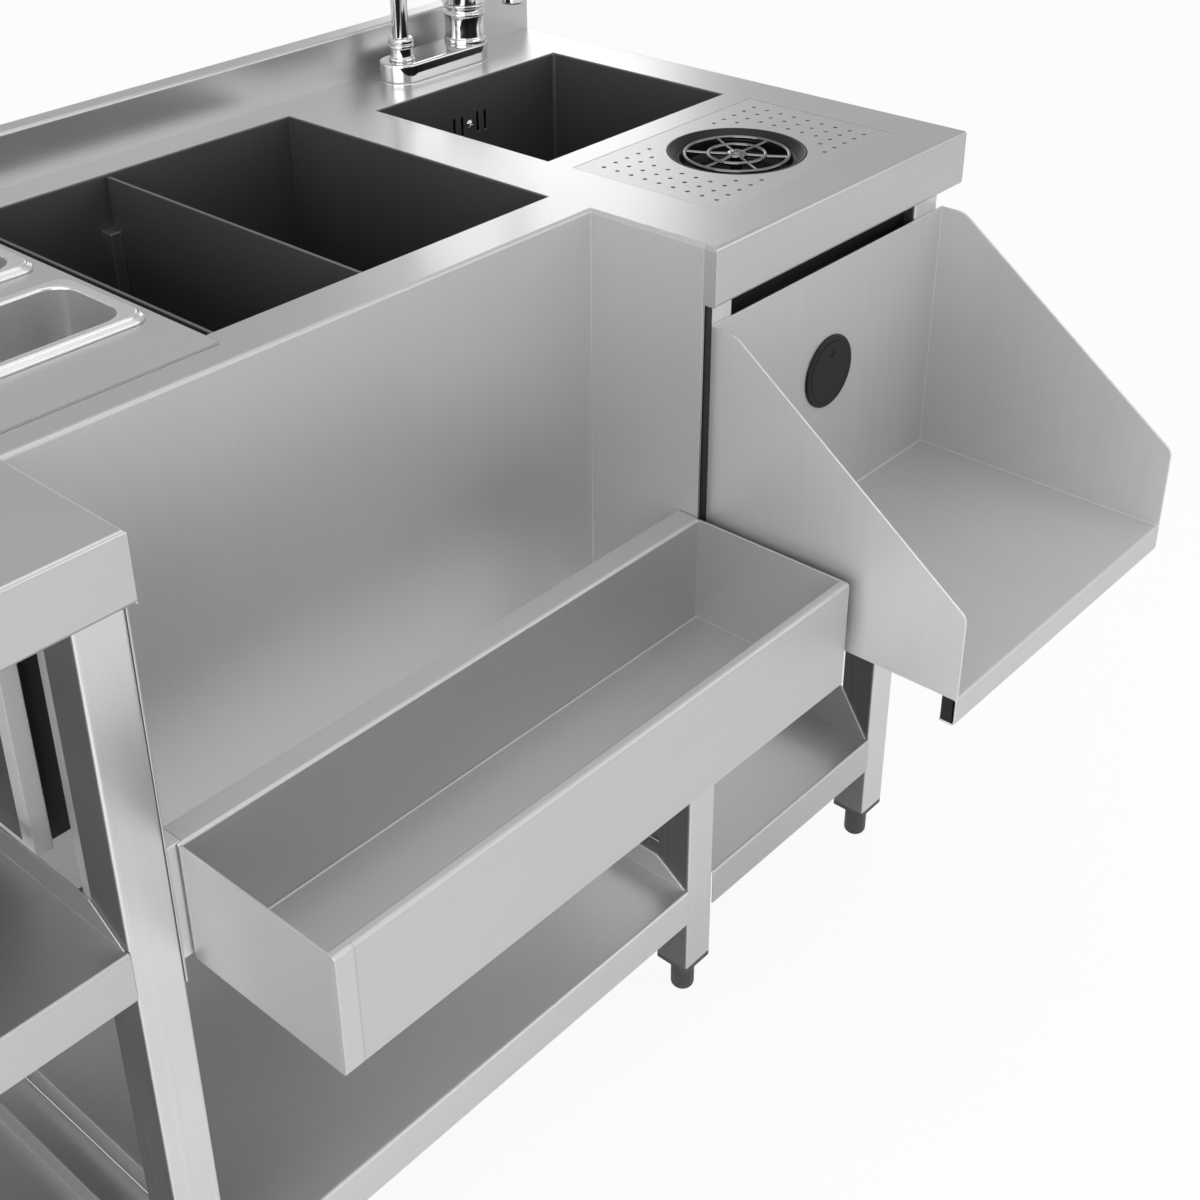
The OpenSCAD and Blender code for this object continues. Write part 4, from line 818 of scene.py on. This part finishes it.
    def build_spout(self, material: bpy.types.Material) -> None:
        """Spout: a tube along a straight riser, a half circle and a short drop."""
        low, high, mid = middle("tap_spout")
        radius = (high.x - low.x) / 2
        back = high.y - radius
        front = low.y + radius
        arch = (back - front) / 2
        spring = high.z - radius - arch
        rise = np.linspace(low.z, spring, 12)[:-1]
        turn = np.linspace(0.0, math.pi, 40)
        fall = np.linspace(spring, spring - self.drop, 8)[1:]
        over = (back + front) / 2 + arch * np.cos(turn)
        y = np.concatenate([np.full_like(rise, back), over, np.full_like(fall, front)])
        z = np.concatenate([rise, spring + arch * np.sin(turn), fall])
        path = np.stack([np.full_like(y, mid.x), y, z], axis=-1)
        piece = mesh_object("bent_spout", [(tube(path, radius, 48), False, True)], 40.0)
        stand_in(piece, "tap_spout", material)


@dataclass
class Feet:
    """Levelling feet: a threaded stem over a round foot with a collar and an eased base."""

    nodes: tuple[str, ...] = tuple(f"foot_{row}_{i}" for row in ("front", "rear") for i in range(1, 5))
    pitch: float = 1.5 * MM
    stem: float = 5.0 * MM
    thread_from: float = 46.0 * MM
    thread_depth: float = 0.55 * MM

    def build(self, material: bpy.types.Material) -> None:
        """Builds the eight feet."""
        for node in self.nodes:
            low, high, mid = middle(node)
            big = (high.x - low.x) / 2
            stem, top = self.stem, high.z - low.z
            turns = np.arange(self.thread_from, top - 1 * MM, self.pitch / 2)
            thread = [(stem - (self.thread_depth if i % 2 else 0.02 * MM), z) for i, z in enumerate(turns)]
            base = fillet(
                [(0, 0), (big - 5 * MM, 0), (big, 5 * MM), (big, 33 * MM), (big - 0.5 * MM, 36.6 * MM),
                 (big - 1.9 * MM, 37.2 * MM), (big - 2 * MM, 44.8 * MM), (stem, 44.9 * MM)],
                [0, 3 * MM, 3 * MM, 1.5 * MM, 0.8 * MM, 0.5 * MM, 0.5 * MM, 0],
                4,
            )
            path = np.concatenate([base, np.array(thread), [[stem - 1 * MM, top - 0.2 * MM], [0, top]]])
            grid = turned(path, (mid.x, mid.y, low.z), 40)
            piece = mesh_object(f"turned_{node}", [(grid, False, True)], 30.0)
            stand_in(piece, node, material)


@dataclass
class SideMembers:
    """Tubes that join each front leg to its rear leg at the undershelves' height.

    top is the height of their upper faces and gap the space left at the legs; tip is the half width of the
    small first and last section, which closes a tube.
    """

    legs: tuple[str, ...] = tuple(f"leg_front_{i}" for i in range(1, 5))
    top: float = 163.7 * MM
    height: float = 38.0 * MM
    gap: float = 0.1 * MM
    corner: float = 2.5 * MM
    tip: float = 0.02 * MM

    def build(self, material: bpy.types.Material) -> None:
        """Builds the four tubes as one piece that rides on the stand."""
        rear_low, _, _ = middle("legs_rear")
        grids = []
        for node in self.legs:
            low, high, mid = middle(node)
            y = np.array([high.y + self.gap] * 2 + [rear_low.y - self.gap] * 2)
            half_x = np.array([self.tip, (high.x - low.x) / 2, (high.x - low.x) / 2, self.tip])
            half_z = np.array([self.tip, self.height / 2, self.height / 2, self.tip])
            corner = np.array([self.tip / 2, self.corner, self.corner, self.tip / 2])
            x, z = rounded_loop(half_x, half_z, corner, 6)
            deep = np.repeat(y[:, None], x.shape[1], axis=1)
            grids.append((np.stack([x + mid.x, deep, z + self.top - self.height / 2], axis=-1), False, True))
        piece = mesh_object("side_members", grids, 35.0)
        body = frame["nodes"]["legs_rear"]["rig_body"]
        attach(piece, body)
        piece.data.materials.clear()
        piece.data.materials.append(material)
        log.info("%s rides on %s, %d faces", piece.name, body, len(piece.data.polygons))


class Dressing:
    """Finish of every CAD node that keeps its own mesh."""

    def plan(self) -> dict[str, Any]:
        """Finish for each node, by the node's name."""
        # edge in each finish sets its painted edge highlight; below 0, as on the drip plate and holder, it paints a
        # shadow line.
        deck = BrushedSheet("steel_deck", rough=0.30, streak=0.02, wave=0.0010, edge=0.12)
        splash = BrushedSheet("steel_splash", rough=0.34, wave=0.0012)
        up = Grain.UPRIGHT
        panel = BrushedSheet("steel_recess", rough=0.44, metal=0.75, grain=up, streak=0.03, wave=0.0008)
        rail = BrushedSheet("steel_rail", rough=0.40, metal=0.78, streak=0.04, seam=Seam(-0.277, -0.334))
        # Blender shelf: edge=0.6 paints bright highlight lines on the wings' edges.
        shelf = BrushedSheet("steel_blender_shelf", tone=0.60, rough=0.46, metal=0.66, grain=up, streak=0.04, edge=0.6)
        # Legs: side=0.72 paints shade on the faces that look along x.
        leg = BrushedSheet("steel_leg_painted_side_shade", tone=0.69, rough=0.34, metal=0.83, grain=up, cloud=0.26, side=0.72)
        under = BrushedSheet("steel_undershelf", rough=0.38, metal=0.9)
        # Middle undershelf: a lighter copy of the undershelf finish, painted light where the back panel shades it.
        lit_undershelf_middle = BrushedSheet("steel_undershelf_middle_painted_light", tone=0.68, rough=0.40, metal=0.8)
        # Back panel: tone 0.90 with little metal is painted light, so that the undershelf reflects a bright back.
        pale = BrushedSheet("steel_back_painted_light", tone=0.90, rough=0.55, metal=0.25)
        # Bin casing: painted near black as painted shade for the shadow it stands in.
        shaded_casing = BrushedSheet("casing_painted_shade", tone=0.06, rough=0.5, metal=0.3, edge=0.4)
        hidden = BrushedSheet("steel_hidden", tone=0.70, rough=0.48, metal=0.5)
        # Pan holder and drip basin: edge=-0.95 paints a shadow line along their edges, where the plate's edge shades
        # the deck.
        satin = BrushedSheet("steel_holder_painted_edge_shadow", rough=0.38, wave=0.0006, edge=-0.95)
        perforated = BrushedSheet("steel_drip_plate", rough=0.34, wave=0.0008, edge=-0.2, edge_radius=0.0005)
        # Bin liner and sink bowl: tone 0.13 is painted shade for the dark surroundings they reflect; edge paints
        # highlights on their rims.
        dark = BrushedSheet("liner_painted_shade", tone=0.13, rough=0.42, metal=0.7, grain=up, streak=0.10, edge=1.0)
        # Divider and partition: tone 0.14 is painted shade for the dark bin they stand in; edge paints a light line on
        # their top edges.
        divide = BrushedSheet("divider_painted_shade", tone=0.14, rough=0.40, metal=0.7, grain=up, streak=0.10, edge=0.5)
        # Divider guides: edge=4.0 paints bright highlights on their edges and tops.
        guide = BrushedSheet("guide_painted_highlight", tone=0.45, rough=0.24, metal=0.9, grain=up, streak=0.10, edge=4.0)
        chrome = PolishedMetal("chrome_parts")
        black = MouldedPlastic("black_parts", (0.008, 0.008, 0.0085), gloss=0.3)
        return {
            "worktop": deck, "splashback": splash, "recess_panel": panel, "back_panel": pale,
            "deck_stiffeners": hidden, "bin_liner": dark, "bin_foam": CellFoam("foam_core"),
            "bin_casing": shaded_casing, "bin_stays": hidden, "bin_drain": chrome, "divider_guides": guide,
            "divider": divide, "partition": divide, "pan_holder": satin, "sink_bowl": dark,
            "overflow_screw": chrome, "overflow_box": black, "sink_waste": chrome, "sink_strainer": chrome,
            "sink_trap": MouldedPlastic("white_trap", (0.72, 0.72, 0.70), 0.35), "drip_basin": satin,
            "drip_plate": perforated, "drip_drain": chrome, "rinser_inlet": black, "tap_cap": chrome,
            "tap_lever": chrome, "tap_shanks": PolishedMetal("brass_shanks", (0.66, 0.47, 0.20), 0.22, 0.12),
            # shelf_rail takes the black finish: its plugs are black plastic, and its tube and upright strips are black
            # as painted shade for the shadow behind the blender shelf.
            "rail_bar": leg, "speed_rail": rail, "blender_shelf": shelf, "shelf_rail": black,
            "grommet_body": black, "grommet_cap": black, "leg_front_1": leg, "leg_front_2": leg,
            "leg_front_3": leg, "leg_front_4": leg, "legs_rear": leg,
            "leg_caps": MouldedPlastic("grey_caps", (0.06, 0.06, 0.061)), "undershelf_left": under,
            "undershelf_middle": lit_undershelf_middle, "undershelf_right": under, "middle_shelf": under,
        }

    def build(self, standing: set[str]) -> None:
        """Assigns a finish to each node that no piece stands for.

        Args:
            standing: names of the nodes that are replaced.
        """
        made: dict[str, bpy.types.Material] = {}
        for node, finish in self.plan().items():
            if node in standing:
                continue
            if finish.name not in made:
                made[finish.name] = finish.material()
            material = made[finish.name]
            slots = frame["nodes"][node].data.materials
            if len(slots) == 0:
                slots.append(material)
            for i in range(len(slots)):
                slots[i] = material
            log.info("%s has finish %s", node, finish.name)


@dataclass(frozen=True)
class Softbox:
    """Rectangular lamp: where it stands, what it faces, its size and the radiance of its face."""

    name: str
    place: tuple[float, float, float]
    aim: tuple[float, float, float]
    size: tuple[float, float]
    radiance: float

    def build(self) -> None:
        """Makes the lamp; its power is radiance times pi times its area."""
        data = bpy.data.lights.new(self.name, "AREA")
        data.shape = "RECTANGLE"
        data.size, data.size_y = self.size
        data.energy = self.radiance * math.pi * self.size[0] * self.size[1]
        lamp = bpy.data.objects.new(self.name, data)
        lamp.location = self.place
        lamp.rotation_euler = (Vector(self.aim) - Vector(self.place)).to_track_quat("-Z", "Y").to_euler()
        lamp.visible_camera = False
        bpy.context.scene.collection.objects.link(lamp)


@dataclass
class Studio:
    """Pale floor, sky, softboxes and the camera.

    camera_angles are the azimuth, the fall and the roll in degrees; focal and centre are in pixels of the
    photograph, whose side is picture. half is half the floor's side, glow how bright the camera sees the
    floor and gleam how bright reflections see it; sky_stops are (height, grey) pairs.
    """

    camera_angles: tuple[float, float, float] = (47.0, 29.1, -1.1)
    camera_place: tuple[float, float, float] = (-0.80995, -1.0235, 1.4721)
    focal: float = 1752.1
    centre: tuple[float, float] = (554.0, 458.1)
    picture: float = 1200.0
    half: float = 25.0
    glow: float = 0.92
    gleam: float = 0.2
    sky_stops: tuple[tuple[float, float], ...] = (
        (0.0, 0.80), (0.48, 0.85), (0.57, 0.66), (0.67, 0.50), (0.80, 0.55), (1.0, 0.80),
    )
    boxes: tuple[Softbox, ...] = (
        Softbox("back_right", (2.62, 2.2, 1.95), (0.4, 0.0, 0.9), (0.75, 1.0), 1.95),
        Softbox("roof", (0.0, -0.4, 3.5), (0.0, 0.0, 0.5), (3.0, 2.6), 0.8),
        Softbox("left", (-3.0, -1.2, 1.4), (0.3, -0.2, 0.7), (3.6, 2.6), 3.1),
        Softbox("front", (1.9, -3.0, 2.1), (0.1, 0.1, 0.8), (3.4, 1.8), 1.2),
    )

    def build_floor(self) -> None:
        """Floor: a flat sheet whose pale colour shows white and keeps a soft shadow."""
        side = np.linspace(-self.half, self.half, 5)
        x, y = np.meshgrid(side, side, indexing="ij")
        sheet = np.stack([x, y, np.full_like(x, -0.0006)], axis=-1)
        floor = mesh_object("studio_floor", [(sheet, False, False)])
        for polygon in floor.data.polygons:
            if polygon.normal.z < 0:
                polygon.flip()
        material, bench = new_material("floor_paint")
        tone = 0.97 + (bench.noise((0.6, 0.6, 0.6), 1.0) - 0.5) * 0.01
        paint = bench.put("ShaderNodeBsdfDiffuse", None, {"Color": bench.tinted((0.90, 0.90, 0.90), tone)})
        glow = bench.put("ShaderNodeEmission", None, {"Color": (1.0, 1.0, 1.0, 1.0), "Strength": 1.0})
        rays = bench.put("ShaderNodeLightPath").outputs
        seen = Wire(bench, rays["Is Camera Ray"]) * self.glow
        bounced = (Wire(bench, rays["Is Glossy Ray"]) + Wire(bench, rays["Is Transmission Ray"])) * self.gleam
        shaders = {0: seen + bounced, 1: paint.outputs[0], 2: glow.outputs[0]}
        mix = bench.put("ShaderNodeMixShader", None, shaders)
        bench.put("ShaderNodeOutputMaterial", None, {"Surface": mix.outputs[0]})
        floor.data.materials.append(material)

    def build_sky(self) -> None:
        """Sky: grey that changes with height only, paler at the horizon and overhead."""
        world = bpy.data.worlds.new("studio_sky")
        world.use_nodes = True
        bench = Bench(world.node_tree)
        way = bench.put("ShaderNodeTexCoord").outputs["Generated"]
        height = Wire(bench, bench.put("ShaderNodeSeparateXYZ", None, {0: way}).outputs[2])
        ramp = bench.put("ShaderNodeValToRGB", {"stops": self.sky_stops}, {0: height * 0.5 + 0.5})
        sky = bench.put("ShaderNodeBackground", None, {"Color": ramp.outputs[0], "Strength": 1.0})
        bench.put("ShaderNodeOutputWorld", None, {"Surface": sky.outputs[0]})
        bpy.context.scene.world = world

    def build_camera(self) -> None:
        """Camera at the photograph's viewing angle, found by matching edges to the part's own sizes."""
        azimuth, fall, roll = (math.radians(angle) for angle in self.camera_angles)
        look = Vector((math.sin(azimuth) * math.cos(fall), math.cos(azimuth) * math.cos(fall), -math.sin(fall)))
        right = Vector((math.cos(azimuth), -math.sin(azimuth), 0.0))
        up = right.cross(look)
        side = math.cos(roll) * right + math.sin(roll) * up
        head = -math.sin(roll) * right + math.cos(roll) * up
        data = bpy.data.cameras.new("photo_camera")
        data.sensor_width = 36.0
        data.lens = self.focal * data.sensor_width / self.picture
        data.shift_x = (self.picture / 2 - self.centre[0]) / self.picture
        data.shift_y = (self.centre[1] - self.picture / 2) / self.picture
        data.clip_end = 200.0
        camera = bpy.data.objects.new("photo_camera", data)
        turn = Matrix((side, head, -look)).transposed().to_4x4()
        camera.matrix_world = Matrix.Translation(self.camera_place) @ turn
        bpy.context.scene.collection.objects.link(camera)
        bpy.context.scene.camera = camera

    def build(self) -> None:
        """Builds the whole studio."""
        self.build_floor()
        self.build_sky()
        for box in self.boxes:
            box.build()
        self.build_camera()
        bpy.context.scene.view_settings.view_transform = "Standard"


def write_sizes() -> None:
    import json


def main() -> None:
    """Builds the studio, then each sub-assembly, and reports every piece."""
    logging.basicConfig(level=logging.INFO, format="%(name)s: %(message)s")
    Studio().build()
    chrome = PolishedMetal("chrome_tap").material()
    pressed = BrushedSheet(
        "pressed_pan", tone=0.73, rough=0.25, metal=0.84, streak=0.02, cloud=0.06, wave=0.0005, edge=0.0
    )
    Pans().build(pressed.material())
    Rinser().build_body(MouldedPlastic("rinser_black", (0.010, 0.010, 0.011), 0.34, gloss=0.22).material())
    # The star's chrome tint of 0.20 is painted shade for the dark bowl it reflects.
    Rinser().build_star(PolishedMetal("star_chrome_painted_shade", (0.20, 0.20, 0.205), 0.10).material())
    Tap().build(chrome)
    Feet().build(MouldedPlastic("foot_black", (0.05, 0.05, 0.052), 0.4).material())
    SideMembers().build(BrushedSheet("steel_member", tone=0.62, rough=0.34, cloud=0.2).material())
    standing = {n for o in bpy.data.objects for n in o.get("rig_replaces", [])}
    Dressing().build(standing)
    write_sizes()


if __name__ == "__main__":
    main()
